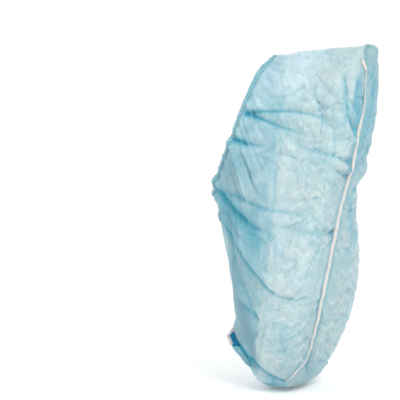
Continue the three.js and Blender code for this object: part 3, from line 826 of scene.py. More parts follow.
def ring(sides):
    """The cosines and sines of the corners round a closed section, the first one again at its end."""
    around = np.linspace(0, 2 * np.pi, sides + 1)
    return np.cos(around), np.sin(around)


def spread(line, *ways):
    """Rows of places round a line's points. A way is a direction and distances at each point."""
    places = line[:, None]
    for way, distance in ways:
        places = places + way[:, None] * distance[..., None]
    return places


def grid_mesh(name, places, tube=False, facing=None):
    """A grid moved to rows of places, with its doubles merged; a tube's open ends are filled.

    `facing` gives the outward direction at each place, and the faces are turned to it.
    """
    rows, columns = places.shape[0] - 1, places.shape[1] - 1
    bm = bmesh.new()
    half = 0.5
    bmesh.ops.create_grid(bm, x_segments=columns, y_segments=rows, size=half)
    order = bm.verts.layers.int.new("place")
    for vert in bm.verts:
        column, row = round((vert.co.x + half) * columns), round((vert.co.y + half) * rows)
        vert.co = places[row, column]
        vert[order] = row * (columns + 1) + column
    if facing is not None:
        bm.normal_update()
        flat = facing.reshape(-1, 3)
        agree = sum(face.normal.dot(Vector(flat[face.verts[0][order]])) for face in bm.faces)
        if agree < 0:
            bmesh.ops.reverse_faces(bm, faces=bm.faces)
    bmesh.ops.remove_doubles(bm, verts=bm.verts, dist=DOUBLES)
    if tube:
        bmesh.ops.holes_fill(bm, edges=bm.edges, sides=0)
        bmesh.ops.recalc_face_normals(bm, faces=bm.faces)
    mesh = bpy.data.meshes.new(name)
    bm.to_mesh(mesh)
    bm.free()
    mesh.polygons.foreach_set("use_smooth", [True] * len(mesh.polygons))
    piece = bpy.data.objects.new(name, mesh)
    bpy.context.scene.collection.objects.link(piece)
    return piece


def paint(piece, **fields):
    """Keeps fields of the grid on its vertices, as attributes that the materials read."""
    mesh = piece.data
    order = np.empty(len(mesh.vertices), dtype=np.int32)
    mesh.attributes["place"].data.foreach_get("value", order)
    for name, field in fields.items():
        values = np.ascontiguousarray(field.reshape(-1)[order], dtype=np.float32)
        mesh.attributes.new(name, "FLOAT", "POINT").data.foreach_set("value", values)


def thicken(piece, thickness, offset=-1.0):
    """Gives a sheet its wall."""
    solid = piece.modifiers.new("wall", "SOLIDIFY")
    solid.thickness = thickness
    solid.offset = offset


def dress(piece, material, slot, *nodes):
    """Gives a piece its material and its body, and says which nodes it stands for; its slot is not used.
    """
    piece.data.materials.append(material)
    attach(piece, "root")
    if nodes:
        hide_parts(*nodes)


LOOK_FROM = 0.012
# The cloth's fields: painted shade in its hollows and creases, its print, its lighter patches, and
# painted shade where it turns from the light.
CLOTH_FIELDS = ("cavity", "crease", "printed", "bleached", "dim")


class Seat:
    """The finished cloth, to lay other pieces on. Rays look for it from LOOK_FROM metres outside."""

    def __init__(self, cloth):
        graph = bpy.context.evaluated_depsgraph_get()
        self.tree = BVHTree.FromObject(cloth, graph)
        mesh = cloth.evaluated_get(graph).data
        corner = np.array([face.vertices[0] for face in mesh.polygons])
        self.fields = {}
        for name in CLOTH_FIELDS:
            values = np.empty(len(mesh.vertices), dtype=np.float32)
            mesh.attributes[name].data.foreach_get("value", values)
            self.fields[name] = values[corner]

    def drop(self, start, down):
        """The cloth's places under places of the part's frame, and its faces there."""
        found, faces = np.empty(start.shape), np.zeros(start.shape[:-1], dtype=int)
        for at in np.ndindex(start.shape[:-1]):
            origin = Vector(start[at] - down[at] * LOOK_FROM)
            hit, _, face, _ = self.tree.ray_cast(origin, Vector(down[at]), 2 * LOOK_FROM)
            found[at] = start[at] if hit is None else hit
            faces[at] = face or 0
        return found, faces

    def under(self, places, away):
        """The same for places and outward directions of the foot's frame."""
        return self.drop(to_part(places), -directions(away))


def smoothed(line, times):
    """Rows of places, averaged with the rows before and after them."""
    for _ in range(times):
        line = line.copy()
        line[1:-1] = (line[:-2] + 2 * line[1:-1] + line[2:]) / 4
    return line


WALK_ALONG = (4, 338)
WALK_STEP = 2
WALK_PARTS = 100

# How many steps before the last one a place may be, so that it always has a step after it.
WALK_LAST = 1.001


class Walks:
    """How far each place is from the sole seam, measured up the cloth at one `along`."""

    def __init__(self, side):
        self.along = np.arange(*WALK_ALONG, WALK_STEP, dtype=float)
        self.share = np.linspace(0, 1, WALK_PARTS + 1)
        angle = angle_at(side, self.along[:, None], self.share[None, :])
        steps = np.diff(plain(angle, self.share[None, :]), axis=1)
        run = np.linalg.norm(steps, axis=-1).cumsum(axis=1)
        self.distance = np.concatenate([np.zeros((len(self.along), 1)), run], axis=1)

    def share_at(self, along, distance):
        """The shares at distances from the seam."""
        along, distance = np.broadcast_arrays(along, distance)
        at = np.clip((along - self.along[0]) / WALK_STEP, 0, len(self.along) - WALK_LAST)
        low = at.astype(int)
        part = at - low
        shares = np.empty(along.shape)
        for k in np.ndindex(along.shape):
            run = self.distance[low[k]] * (1 - part[k]) + self.distance[low[k] + 1] * part[k]
            shares[k] = np.interp(distance[k], run, self.share)
        return shares


# Materials.


# A wrinkle's shape: how its noise is drawn out, the part of the noise that is a line, and the size of
# what breaks it up against its own.
WRINKLE_STRETCH = (1.0, 1.0, 0.24)
WRINKLE_WIDTH = 0.024
WRINKLE_BREAKS = 0.8


class Nodes:
    """A material's node tree with short ways to add to it."""

    def __init__(self, name, **values):
        self.material = bpy.data.materials.new(name)
        self.material.use_nodes = True
        self.tree = self.material.node_tree
        self.shader = self.tree.nodes["Principled BSDF"]
        for socket, value in values.items():
            self.shader.inputs[socket.replace("_", " ")].default_value = value
        self.where = self.tree.nodes.new("ShaderNodeTexCoord").outputs["Object"]

    def add(self, kind, inputs=None, **settings):
        """A node with its settings and inputs, a number or another node's output each."""
        node = self.tree.nodes.new("ShaderNode" + kind)
        for key, value in settings.items():
            setattr(node, key, value)
        for key, value in (inputs or {}).items():
            if isinstance(value, bpy.types.NodeSocket):
                self.tree.links.new(value, node.inputs[key])
            else:
                node.inputs[key].default_value = value
        return node

    def field(self, name):
        """One of the piece's own fields."""
        return self.add("Attribute", attribute_name=name).outputs["Fac"]

    def noise(self, scale, detail=4.0, rough=0.55, stretch=None):
        """Noise over the piece, with features of about 1 / scale metres."""
        where = self.where
        if stretch is not None:
            where = self.add("Mapping", {"Vector": where, "Scale": stretch}).outputs[0]
        inputs = {"Vector": where, "Scale": scale, "Detail": detail, "Roughness": rough}
        return self.add("TexNoise", inputs).outputs["Fac"]

    def wrinkles(self, scale, turn):
        """Long thin wrinkles across one way, 1 along their middles, broken up by noise."""
        turned = self.add("Mapping", {"Vector": self.where, "Rotation": turn, "Scale": WRINKLE_STRETCH})
        inputs = {"Vector": turned.outputs[0], "Scale": float(scale), "Detail": 1.0, "Distortion": 0.25}
        level = self.add("TexNoise", inputs).outputs["Fac"]
        off = self.math("ABSOLUTE", self.math("SUBTRACT", level, 0.5))
        line = self.ramp(off, WRINKLE_WIDTH, 0.0)
        breaks = self.noise(scale=scale * WRINKLE_BREAKS, detail=2)
        return self.math("MULTIPLY", line, self.ramp(breaks, 0.42, 0.60))

    def math(self, operation, a, b=0.0, clamp=False):
        """Two values put together."""
        return self.add("Math", {0: a, 1: b}, operation=operation, use_clamp=clamp).outputs[0]

    def ramp(self, value, low, high, to_low=0.0, to_high=1.0):
        """A value's range low to high, mapped to another."""
        inputs = {"Value": value, 1: low, 2: high, 3: to_low, 4: to_high}
        return self.add("MapRange", inputs, interpolation_type="SMOOTHSTEP").outputs[0]

    def mix(self, factor, a, b, blend="MIX"):
        """Two colours mixed, each a node's output or red, green and blue."""
        a, b = (rgb if isinstance(rgb, bpy.types.NodeSocket) else (*rgb, 1.0) for rgb in (a, b))
        return self.add("Mix", {0: factor, 6: a, 7: b}, data_type="RGBA", blend_type=blend).outputs[2]

    def tint(self, base, red, green, blue):
        """A colour multiplied by three values."""
        tone = self.add("CombineColor", {0: red, 1: green, 2: blue}).outputs[0]
        return self.mix(1.0, base, tone, "MULTIPLY")

    def finish(self, base, rough, *layers):
        """The material with its colour, its roughness or None, and its layers of fine relief.

        A layer is its height, the distance in metres that it stands for, and its strength.
        """
        relief = {}
        for height, distance, strength in layers:
            inputs = {"Height": height, "Distance": distance, "Strength": strength, **relief}
            relief = {"Normal": self.add("Bump", inputs).outputs[0]}
        for socket, output in {"Base Color": base, "Roughness": rough, **relief}.items():
            if output is not None:
                self.tree.links.new(output, self.shader.inputs[socket])
        return self.material


def lighter(rgb, by):
    """A colour made lighter, or darker if `by` is under 1."""
    return tuple(min(1.0, c * by) for c in rgb)


# The cloth's colour: how much lighter the flap is painted, as sheen, how far clouds move the print's
# edge, how much of each colour comes into it, the crease colour as painted shade, and what its dim
# patches of painted shade are multiplied by.
FLAP_PALER = 1.18
PRINT_RAGGED = 0.35
DEEP_SHARE = 0.26
PALE_SHARE = 0.38
WRINKLE_SHARE = 0.20
FOLD_SHARE = 0.9
DIM_TINT = (0.60, 0.68, 0.71)

# The powers that draw green and blue less than red into the clouds.
CLOUD_GREEN = 0.7
CLOUD_BLUE = 0.6


class ClothColour:
    """The colour of spunbond cloth: matted fibres, paler where the sole is printed, teal painted shade in
    its folds.
    """

    def __init__(self, n, colours, whole):
        self.clouds = n.noise(scale=95, detail=6, rough=0.62)
        self.fibres = n.noise(scale=420, detail=5, rough=0.7, stretch=(1.0, 1.0, 0.35))
        # The flap is painted lighter, as sheen.
        base = lighter(colours.cloth, FLAP_PALER)
        if whole:
            ragged = n.math("MULTIPLY", n.math("SUBTRACT", self.clouds, 0.5), PRINT_RAGGED)
            ragged = n.math("ADD", n.field("printed"), ragged)
            base = n.mix(n.ramp(ragged, 0.15, 0.85), colours.cloth, colours.printed)
        drifts = n.ramp(n.noise(scale=26, detail=3, rough=0.6), 0.38, 0.66)
        base = n.mix(n.math("MULTIPLY", drifts, DEEP_SHARE), base, colours.deep)
        thin = n.ramp(n.noise(scale=38, detail=4, rough=0.6, stretch=(1.0, 1.3, 0.8)), 0.46, 0.66)
        base = n.mix(n.math("MULTIPLY", thin, PALE_SHARE), base, colours.pale)
        # Lighter patches, and painted shade where the cloth turns from the light.
        if whole:
            base = n.mix(n.field("bleached"), base, colours.bleached)
            base = n.mix(n.field("dim"), base, DIM_TINT, "MULTIPLY")
        mottled = n.ramp(self.clouds, 0.32, 0.68, to_low=0.92, to_high=1.06)
        green, blue = (n.math("POWER", mottled, power) for power in (CLOUD_GREEN, CLOUD_BLUE))
        base = n.tint(base, mottled, green, blue)
        streaked = n.ramp(self.fibres, 0.3, 0.7, to_low=0.94, to_high=1.05)
        base = n.tint(base, streaked, streaked, streaked)
        # Fine wrinkles: bumps with painted shade along them in the crease colour.
        wide, narrow = n.wrinkles(52, (0.5, 0.2, 0.3)), n.wrinkles(88, (-0.7, 0.4, 0.1))
        self.wrinkles = n.math("MAXIMUM", wide, narrow)
        base = n.mix(n.math("MULTIPLY", self.wrinkles, WRINKLE_SHARE), base, colours.crease)
        # Painted shade in the crease colour, in the hollows and along the creases.
        self.creases = n.math("POWER", n.field("crease"), DARK_POWER)
        dark = n.math("MAXIMUM", n.field("cavity"), self.creases)
        self.output = n.mix(n.math("MULTIPLY", dark, FOLD_SHARE, clamp=True), base, colours.crease)


def nonwoven(name, colours, whole=False):
    """Spunbond cloth, bonded in a fine grid of dots, with painted shade; the whole bag's has its print
    and lighter patches.
    """
    n = Nodes(
        name,
        Sheen_Weight=0.25,
        Sheen_Roughness=0.4,
        Specular_IOR_Level=0.35,
        Subsurface_Weight=0.12,
        Subsurface_Radius=(0.6, 1.0, 1.0),
        Subsurface_Scale=0.002,
    )
    cloth = ClothColour(n, colours, whole)
    base = cloth.output
    # The painted shadow inside the flap's pocket.
    if not whole:
        base = n.mix(n.field("pocket"), base, colours.pocket)
    dots = n.add("TexVoronoi", {"Vector": n.where, "Scale": 780.0, "Randomness": 0.25})
    return n.finish(
        base,
        n.ramp(cloth.clouds, 0.3, 0.7, to_low=0.50, to_high=0.68),
        (n.ramp(dots.outputs["Distance"], 0.1, 0.5), 0.00012, 0.5),
        (cloth.fibres, 0.00025, 0.55),
        (cloth.clouds, 0.0005, 0.3),
        (n.math("SUBTRACT", 1.0, cloth.wrinkles), 0.0006, 0.6),
        (n.math("SUBTRACT", 1.0, cloth.creases), 0.0012, 0.6),
    )


def woven_tape(name, colours):
    """Soft off-white binding tape with fine slanted threads."""
    n = Nodes(name, Roughness=0.6, Sheen_Weight=0.3, Specular_IOR_Level=0.3)
    slanted = n.add("Mapping", {"Vector": n.where, "Rotation": (0.3, 0.6, 0.2)}).outputs[0]
    inputs = {"Vector": slanted, "Scale": 420.0, "Distortion": 1.6, "Detail": 2.0}
    threads = n.add("TexWave", inputs).outputs["Fac"]
    clouds = n.noise(scale=160)
    base = n.mix(n.ramp(threads, 0.2, 0.8), lighter(colours.tape, 0.86), colours.tape)
    base = n.mix(n.ramp(clouds, 0.35, 0.7, to_high=0.35), base, lighter(colours.tape, 0.8))
    rough = n.ramp(clouds, 0.3, 0.7, to_low=0.5, to_high=0.7)
    return n.finish(base, rough, (threads, 0.0002, 0.7), (clouds, 0.0004, 0.5))


def printed_rib(name, colours):
    """The thin clear skin of soft rubber that makes the sole grip, worn away in places."""
    n = Nodes(name, Specular_IOR_Level=0.4)
    left = n.ramp(n.noise(scale=60, rough=0.6), 0.44, 0.60, to_low=0.05, to_high=0.30)
    left = n.math("MULTIPLY", left, n.field("print"))
    base = n.mix(left, ClothColour(n, colours, whole=True).output, colours.rib)
    grains = n.noise(scale=1100, detail=3)
    return n.finish(base, n.ramp(grains, 0.35, 0.65, to_low=0.42, to_high=0.58), (grains, 0.00015, 0.6))


ELASTIC_RIBS = 243


def ribbed_elastic(name, colours):
    """The hem's cloth, drawn into fine ribs by the elastic inside it."""
    n = Nodes(name, Roughness=0.7, Sheen_Weight=0.3, Specular_IOR_Level=0.3)
    clouds = n.noise(scale=210, detail=5, rough=0.6)
    wave = n.math("SINE", n.math("MULTIPLY", n.field("turn"), 2 * math.pi * ELASTIC_RIBS))
    high = n.ramp(wave, -1.0, 1.0)
    # Painted shade in the ribs' grooves, painted lighter on their tops.
    base = n.mix(high, lighter(colours.elastic, 0.72), lighter(colours.elastic, 1.12))
    base = n.mix(n.ramp(clouds, 0.35, 0.65, to_high=0.4), base, lighter(colours.elastic, 1.3))
    rough = n.ramp(clouds, 0.3, 0.7, to_low=0.6, to_high=0.8)
    return n.finish(base, rough, (high, 0.0004, 0.8), (clouds, 0.0003, 0.6))


def spun_thread(name, rgb):
    """Twisted polyester thread."""
    n = Nodes(name, Roughness=0.5, Sheen_Weight=0.2)
    twist = n.add("TexWave", {"Vector": n.where, "Scale": 900.0, "Distortion": 1.0}).outputs["Fac"]
    # Painted shade in the twist's grooves.
    base = n.mix(n.ramp(twist, 0.2, 0.8), lighter(rgb, 0.8), rgb)
    return n.finish(base, None, (twist, 0.0001, 0.6))


WHITE = (1.0, 1.0, 1.0, 1.0)
FLOOR_GLOW = 0.12


def studio_floor(name, rgb):
    """A plain pale floor, barely uneven."""
    n = Nodes(
        name, Roughness=0.85, Specular_IOR_Level=0.1, Emission_Color=WHITE, Emission_Strength=FLOOR_GLOW
    )
    clouds = n.noise(scale=6, detail=3)
    return n.finish(n.mix(n.ramp(clouds, 0.3, 0.7), lighter(rgb, 0.985), rgb), None)


# The pieces.

CLOTH_NAME = "cloth_bag"
FLAP_NAME = "toe_flap_fold"

# The cloth gets painted shade in its hollows: how far round a place is looked at, how deep a hollow
# is that is fully shaded, and how dark that shade is. Then how soft the print's edges are, as a share and
# in mm.
HOLLOW_BLUR = 8
HOLLOW_DEPTH = 2.4
HOLLOW_DARK = 0.5
PRINT_SOFT = 0.06
STRIP_SOFT = 4


class SHOECOVER_OT_cloth(bpy.types.Operator):
    """Makes the cloth bag with its folds, gathers and crumples"""

    bl_idname = "shoecover.cloth"
    bl_label = "Make cloth bag"

    def execute(self, context):
        shape = context.scene.cover_shape
        angles, shares, turns = bag_grid()
        size = (*angles.shape, 3)
        angle, share, turn = (field.reshape(-1) for field in (angles, shares, turns))
        place, away = plain(angle, share), outward(angle, share)
        rows = place.reshape(size)
        climb = np.diff(rows, axis=0, prepend=rows[:1])
        walk = np.linalg.norm(climb, axis=-1).cumsum(axis=0).reshape(-1)
        height, dark = relief(angle, share, turn, walk, shape)
        grid = height.reshape(angles.shape)
        grid[:, -1] = grid[:, 0]
        grid[0] = (grid[0] + grid[0, ::-1]) / 2
        moved = to_part(place + away * grid.reshape(-1)[:, None])
        piece = grid_mesh(CLOTH_NAME, moved.reshape(size), facing=directions(away).reshape(size))
        # Painted shade in the hollows of the relief and in the shade patches.
        hollow = np.clip((blurred(grid, HOLLOW_BLUR) - grid) / HOLLOW_DEPTH, 0, 1) * HOLLOW_DARK
        hollow = np.clip(hollow + patched(SHADES, place).reshape(angles.shape), 0, 1)
        near, along = np.sin(angle) < 0, place[:, 0]
        edge, strip = on_side(PRINT_EDGE, along, near), on_side(SEAM_STRIP, along, near)
        printed = 1 - smoothstep(share, edge - PRINT_SOFT, edge + PRINT_SOFT)
        printed *= smoothstep(walk, strip - STRIP_SOFT, strip + STRIP_SOFT)
        printed *= np.where(near, 1.0, curve(FAR_PRINT, "along", "pale", along))
        # Lighter patches, and painted shade where the cloth turns from the light.
        bleached, dim = patched(BLEACHES, place), patched(DIMS, place)
        paint(piece, cavity=hollow, crease=dark, printed=printed, bleached=bleached, dim=dim)
        thicken(piece, shape.wall)
        material = nonwoven("nonwoven_cloth", context.scene.cover_colours, whole=True)
        dress(piece, material, "cloth", "body")
        return {"FINISHED"}


# The rim's distance from the seam, which is past the puckers, and how often its heights are averaged.
RIM_WALK = 200.0
RIM_SMOOTHING = 3


def rim(turn, shape):
    """The cloth's edge at turns round the collar, and the outward and upward ways there."""
    half, top = np.linspace(0, 1, COLUMNS // 2 + 1), np.ones(1)
    far, near = (even_angles(side, top, COLUMNS // 2)[0] for side in (FAR, NEAR))
    angle = np.where(turn <= 0.5, np.interp(turn * 2, half, far), np.interp((1 - turn) * 2, half, near))
    share = np.ones(len(turn))
    height = relief(angle, share, turn, np.full(len(turn), RIM_WALK), shape)[0]
    height[-1] = height[0]
    for _ in range(RIM_SMOOTHING):
        height = (np.roll(height[:-1], 1) + height[:-1] + np.roll(height[:-1], -1)) / 3
        height = np.append(height, height[0])
    place, away = plain(angle, share), outward(angle, share)
    climb = place - plain(angle, 1 - PROBE)
    up = unit(climb - away * np.einsum("ij,ij->i", climb, away)[:, None])
    return place + away * height[:, None], away, up


# The hem's middle lies HEM_INSET inside the cloth's outer face, and its lower edge laps the cloth's.
# Its section is squarer than a circle, pinched by the stitches, and sways with the gathers.
HEM_INSET = 0.35
HEM_LAP = 1.0
HEM_POINTS = 24
HEM_SIDES = 16
HEM_ROUND = 0.8
HEM_PINCHES = 81
HEM_PINCH = 0.2
HEM_SWAY = 0.35

# The overlock thread. Its arch is highest at a share of the hem's height and falls off by a spread.
STITCHES = 216
STITCH_POINTS = 6
THREAD_SIDES = 5
THREAD_RADIUS = 0.32
ARCH_AT = 0.42
ARCH_SPREAD = 2.2
ARCH_HEIGHT = 1.16
THREAD_LIFT = 0.1
THREAD_OVER = 0.2


class SHOECOVER_OT_collar(bpy.types.Operator):
    """Makes the elastic hem and its overlock stitching"""

    bl_idname = "shoecover.collar"
    bl_label = "Make elastic collar"

    def execute(self, context):
        shape = context.scene.cover_shape
        colours = context.scene.cover_colours
        tall, thick = shape.hem_height / MM, shape.hem_thick / MM
        turn = np.linspace(0, 1, GATHERS * HEM_POINTS + 1)
        place, away, up = rim(turn, shape)
        place[-1], away[-1], up[-1] = place[0], away[0], up[0]
        wide, high = ring(HEM_SIDES)
        pinch = 1 + HEM_PINCH * np.abs(np.sin(np.pi * HEM_PINCHES * turn))[:, None]
        out = blunt(wide, HEM_ROUND) * thick / 2 * pinch - HEM_INSET
        rise = (blunt(high, HEM_ROUND) * tall / 2 + tall / 2 - HEM_LAP)[None, :]
        sway = HEM_SWAY * np.sin(2 * np.pi * GATHERS * 2 * turn)[:, None] * (rise / tall)
        places = spread(place, (away, out + sway), (up, rise))
        facing = directions(away[:, None] * wide[:, None])
        piece = grid_mesh("elastic_hem", to_part(places), facing=facing)
        paint(piece, turn=np.repeat(turn[:, None], len(wide), axis=1))
        dress(piece, ribbed_elastic("ribbed_elastic", colours), "elastic", "collar_elastic")
        # The overlock thread runs up the hem's outer face, over its edge and back, once a stitch.
        at = np.linspace(0, 1, STITCHES * STITCH_POINTS + 1)
        phase = np.pi * STITCHES * at
        swing = np.arcsin(np.sin(phase)) / np.pi + 0.5
        centre, way, rising = (
            np.stack([np.interp(at, turn, values[:, i]) for i in range(3)], axis=1)
            for values in (place, away, up)
        )
        arch = np.cos((swing - ARCH_AT) * ARCH_SPREAD) * ARCH_HEIGHT
        bulge = thick / 2 * arch - HEM_INSET + THREAD_LIFT
        rise = swing * (tall + THREAD_OVER) - HEM_LAP
        middle = centre + way * bulge[:, None] + rising * rise[:, None]
        ahead = unit(np.roll(middle, -1, axis=0) - np.roll(middle, 1, axis=0))
        across = unit(np.cross(ahead, way))
        over = np.cross(across, ahead)
        wide, high = ring(THREAD_SIDES)
        wall = across[:, None] * wide[:, None] + over[:, None] * high[:, None]
        places = middle[:, None] + wall * THREAD_RADIUS
        places[-1] = places[0]
        thread = grid_mesh("overlock_thread", to_part(places), facing=directions(wall))
        dress(thread, spun_thread("spun_thread", colours.thread), "elastic", "collar_elastic")
        return {"FINISHED"}


# The tape's points along it and round it, how far its middle is over the cloth, its back in the
# cloth's wall and its face at least over the cloth, and how often its route and its ways are averaged.
TAPE_STEPS = 380
TAPE_SIDES = 14
TAPE_ROUND = 0.8
TAPE_LIFT = 0.5
TAPE_SUNK = 0.3
TAPE_PROUD = 0.15
TAPE_SMOOTHING = 60
TAPE_EASING = 12

# Small waves of its edges and its face along it, in metres, its crown as a share of its thickness,
# and the half-width from which the crown is full.
TAPE_EDGE_WAVES = ((0.05, 0.0031, 0), (0.03, 0.0013, 1))
TAPE_CROWN_WAVES = ((0.12, 0.0021, 0),)
TAPE_CROWN = 0.72
TAPE_FULL = 0.0016

# Distances from the seam that count as on it, in millimetres.
ON_SEAM = 1e-6


class SHOECOVER_OT_tape(bpy.types.Operator):
    """Makes the tape along the sole seam"""

    bl_idname = "shoecover.tape"
    bl_label = "Make seam tape"

    def execute(self, context):
        shape = context.scene.cover_shape
        seat = Seat(bpy.data.objects[CLOTH_NAME])
        at = np.linspace(0, TAPE_PATH["stop"][-1], 4 * TAPE_STEPS)
        along, across = curve(TAPE_PATH, "stop", "along", at), curve(TAPE_PATH, "stop", "across", at)
        run = np.hypot(np.gradient(along), np.gradient(across)).cumsum()
        even = np.linspace(run[0], run[-1], TAPE_STEPS + 1)
        along, across = np.interp(even, run, along), np.interp(even, run, across)
        angle, share = on_cloth(along, across)
        away = outward(angle, share)
        centre = smoothed(seat.under(plain(angle, share), away)[0], TAPE_SMOOTHING)
        away = unit(smoothed(directions(away), TAPE_EASING))
        centre = centre + away * TAPE_LIFT * MM
        ahead = unit(np.gradient(centre, axis=0))
        across = unit(np.cross(ahead, away))
        run = np.linspace(0, 1, len(centre))
        metres = np.linalg.norm(np.gradient(centre, axis=0), axis=1).cumsum()
        half = curve(TAPE_WIDTHS, "run", "width", run) * MM / 2 * (1 + waves(TAPE_EDGE_WAVES, metres))
        wide, high = ring(TAPE_SIDES)
        crown = shape.tape_thick * (TAPE_CROWN + waves(TAPE_CROWN_WAVES, metres))
        crown = crown * np.minimum(1, half / TAPE_FULL)
        side = half[:, None] * blunt(wide, TAPE_ROUND)
        places = spread(centre, (across, side))
        # Its face is smooth, and its back lies in the cloth's wall.
        out = np.broadcast_to(away[:, None], places.shape)
        cloth = np.einsum("ijk,ijk->ij", seat.drop(places, -out)[0] - places, out)
        face = np.maximum(high * crown[:, None], smoothed(cloth, TAPE_EASING) + TAPE_PROUD * MM)
        rise = np.where(high > -TINY, face, cloth - TAPE_SUNK * MM)
        rise[:, -1] = rise[:, 0]
        piece = grid_mesh("seam_tape", places + out * rise[..., None], tube=True)
        dress(piece, woven_tape("binding_tape", context.scene.cover_colours), "tape", "sole_seam")
        return {"FINISHED"}


def on_cloth(along, across):
    """The angles and shares at distances across the seam, less than 0 on the near side."""
    near, far = Walks(NEAR).share_at(along, -across), Walks(FAR).share_at(along, across)
    share = np.where(across < 0, near, far)
    share = np.where(np.abs(across) < ON_SEAM, 0.0, share)
    return np.where(across < 0, angle_at(NEAR, along, share), angle_at(FAR, along, share)), share


# The ribs' rows along the foot, and each rib's zigs up the cloth from the strip beside the seam.
RIB_ROWS = 22
RIB_FIRST = 28
RIB_PITCH = 12.9
NEAR_ZIGS = 8
FAR_ZIGS = 5
RIB_START = 10
ZIG_RUN = 8
ZIG_SWING = 6
RIB_STEPS = 6

# A rib's points across it, how far its edges come down under its crown, and the zigs over which its
# ends do.
RIB_POINTS = 5
RIB_DROP = 1.4
RIB_END = 1 / 4

# The print is faint by the heel, and clear from the middle of the foot on.
RIB_FAINTEST = 0.35
RIB_FADE = (4, 12)


class SHOECOVER_OT_ribs(bpy.types.Operator):
    """Makes the printed zigzag ribs, a near and a far one for each row along the sole"""

    bl_idname = "shoecover.ribs"
    bl_label = "Make printed ribs"

    def execute(self, context):
        shape = context.scene.cover_shape
        seat = Seat(bpy.data.objects[CLOTH_NAME])
        material = printed_rib("printed_rubber", context.scene.cover_colours)
        for side, word, zigs in ((NEAR, "near", NEAR_ZIGS), (FAR, "far", FAR_ZIGS)):
            walks = Walks(side)
            k = np.linspace(0, zigs, zigs * RIB_STEPS + 1)
            swing = ZIG_SWING * (0.5 - np.abs(k % 2 - 1))
            edge = np.linspace(-1, 1, RIB_POINTS)
            end = np.clip(1 - np.minimum(k, zigs - k) / RIB_END, 0, 1)[:, None]
            lift = shape.rib_lift * (1 - RIB_DROP * edge**2)[None, :] - shape.rib_lift * end
            for row in range(RIB_ROWS):
                middle = RIB_FIRST + row * RIB_PITCH
                along = middle + swing[:, None] + edge[None, :] * shape.rib_band / MM / 2
                share = walks.share_at(along, (RIB_START + k * ZIG_RUN)[:, None])
                angle = angle_at(side, along, share)
                away = outward(angle, share)
                up = directions(away)
                places, faces = seat.under(plain(angle, share), away)
                places = places + up * lift[..., None]
                name = f"tread_{word}_{row + 1:02d}"
                piece = grid_mesh(f"printed_{name}", places, facing=up)
                fresh = RIB_FAINTEST + (1 - RIB_FAINTEST) * smoothstep(row, *RIB_FADE)
                # The cloth's fields under each rib: its print, lighter patches and painted shade.
                fields = {key: values[faces] for key, values in seat.fields.items()}
                paint(piece, print=np.full(along.shape, fresh), **fields)
                thicken(piece, shape.rib_lift * 2)
                dress(piece, material, "tread", name)
        return {"FINISHED"}


# The flap's grid, how fast it narrows to its edge, how thick it is where it is closed, how much
# thinner where the pocket is open and towards its edge, how deep it stands in the cloth, and its wall.
FLAP_STEPS = 60
FLAP_COLUMNS = 32
FLAP_ARCH = 1.3
FLAP_THICK = 1.7
FLAP_OPEN = 0.9
FLAP_TAPER = 0.4
FLAP_SUNK = 0.4
FLAP_WALL = 0.45

# Its small waves, with lengths in parts of its run. Those of its creases slant over its faces.
CREASE_HEIGHT = 0.35
CREASE_LENGTH = 1 / 46
CREASE_SLANT = 3
SWAY_WAVES = ((0.25, 1 / 21, 1.7),)
EDGE_WAVES = ((0.35, 1 / 31, 0),)

# The pocket opens towards the tail, and its far face stays up. It has a blue painted shadow from a
# little before.
POCKET_OPENS = (0.60, 0.70)
POCKET_FACE = 0.97
POCKET_BLUE = (0.58, 0.66)
POCKET_SIDE = -0.02

# Painted shade at the flap's foot, and a long line of painted shade like a wrinkle's down each of its
# faces, both across it.
FOOT_FROM = 0.42
FOOT_SPREAD = 0.2
STREAK_AT = 0.26
STREAK_SPREAD = 0.07
STREAK_STARTS = (0.02, 0.15)
STREAK_DARK = 0.78
STREAK_WAVES = ((0.12, 1 / 23, 0),)

# The tape's tail: its grid, its half-thickness and half-width, and its wobble along it.
TAIL_STEPS = 40
TAIL_SIDES = 12
TAIL_THICK = 0.9
TAIL_WIDE = 1.9
TAIL_WAVES = ((0.08, 1 / 1.3, 0),)


def standing_line(rows, steps):
    """The foot, outward and sideways directions, reach and turn along a standing strip's table."""
    stops = table(("stop", *rows), list(zip(range(len(rows["along"])), *rows.values())))
    at = np.linspace(0, len(rows["along"]) - 1, steps + 1)
    along, share, reach, turn = (curve(stops, "stop", key, at) for key in rows)
    angle = angle_at(NEAR, along, share)
    away = outward(angle, share)
    foot = plain(angle, share)
    side = unit(np.cross(away, np.gradient(foot, axis=0)))
    return foot, away, side, reach, turn


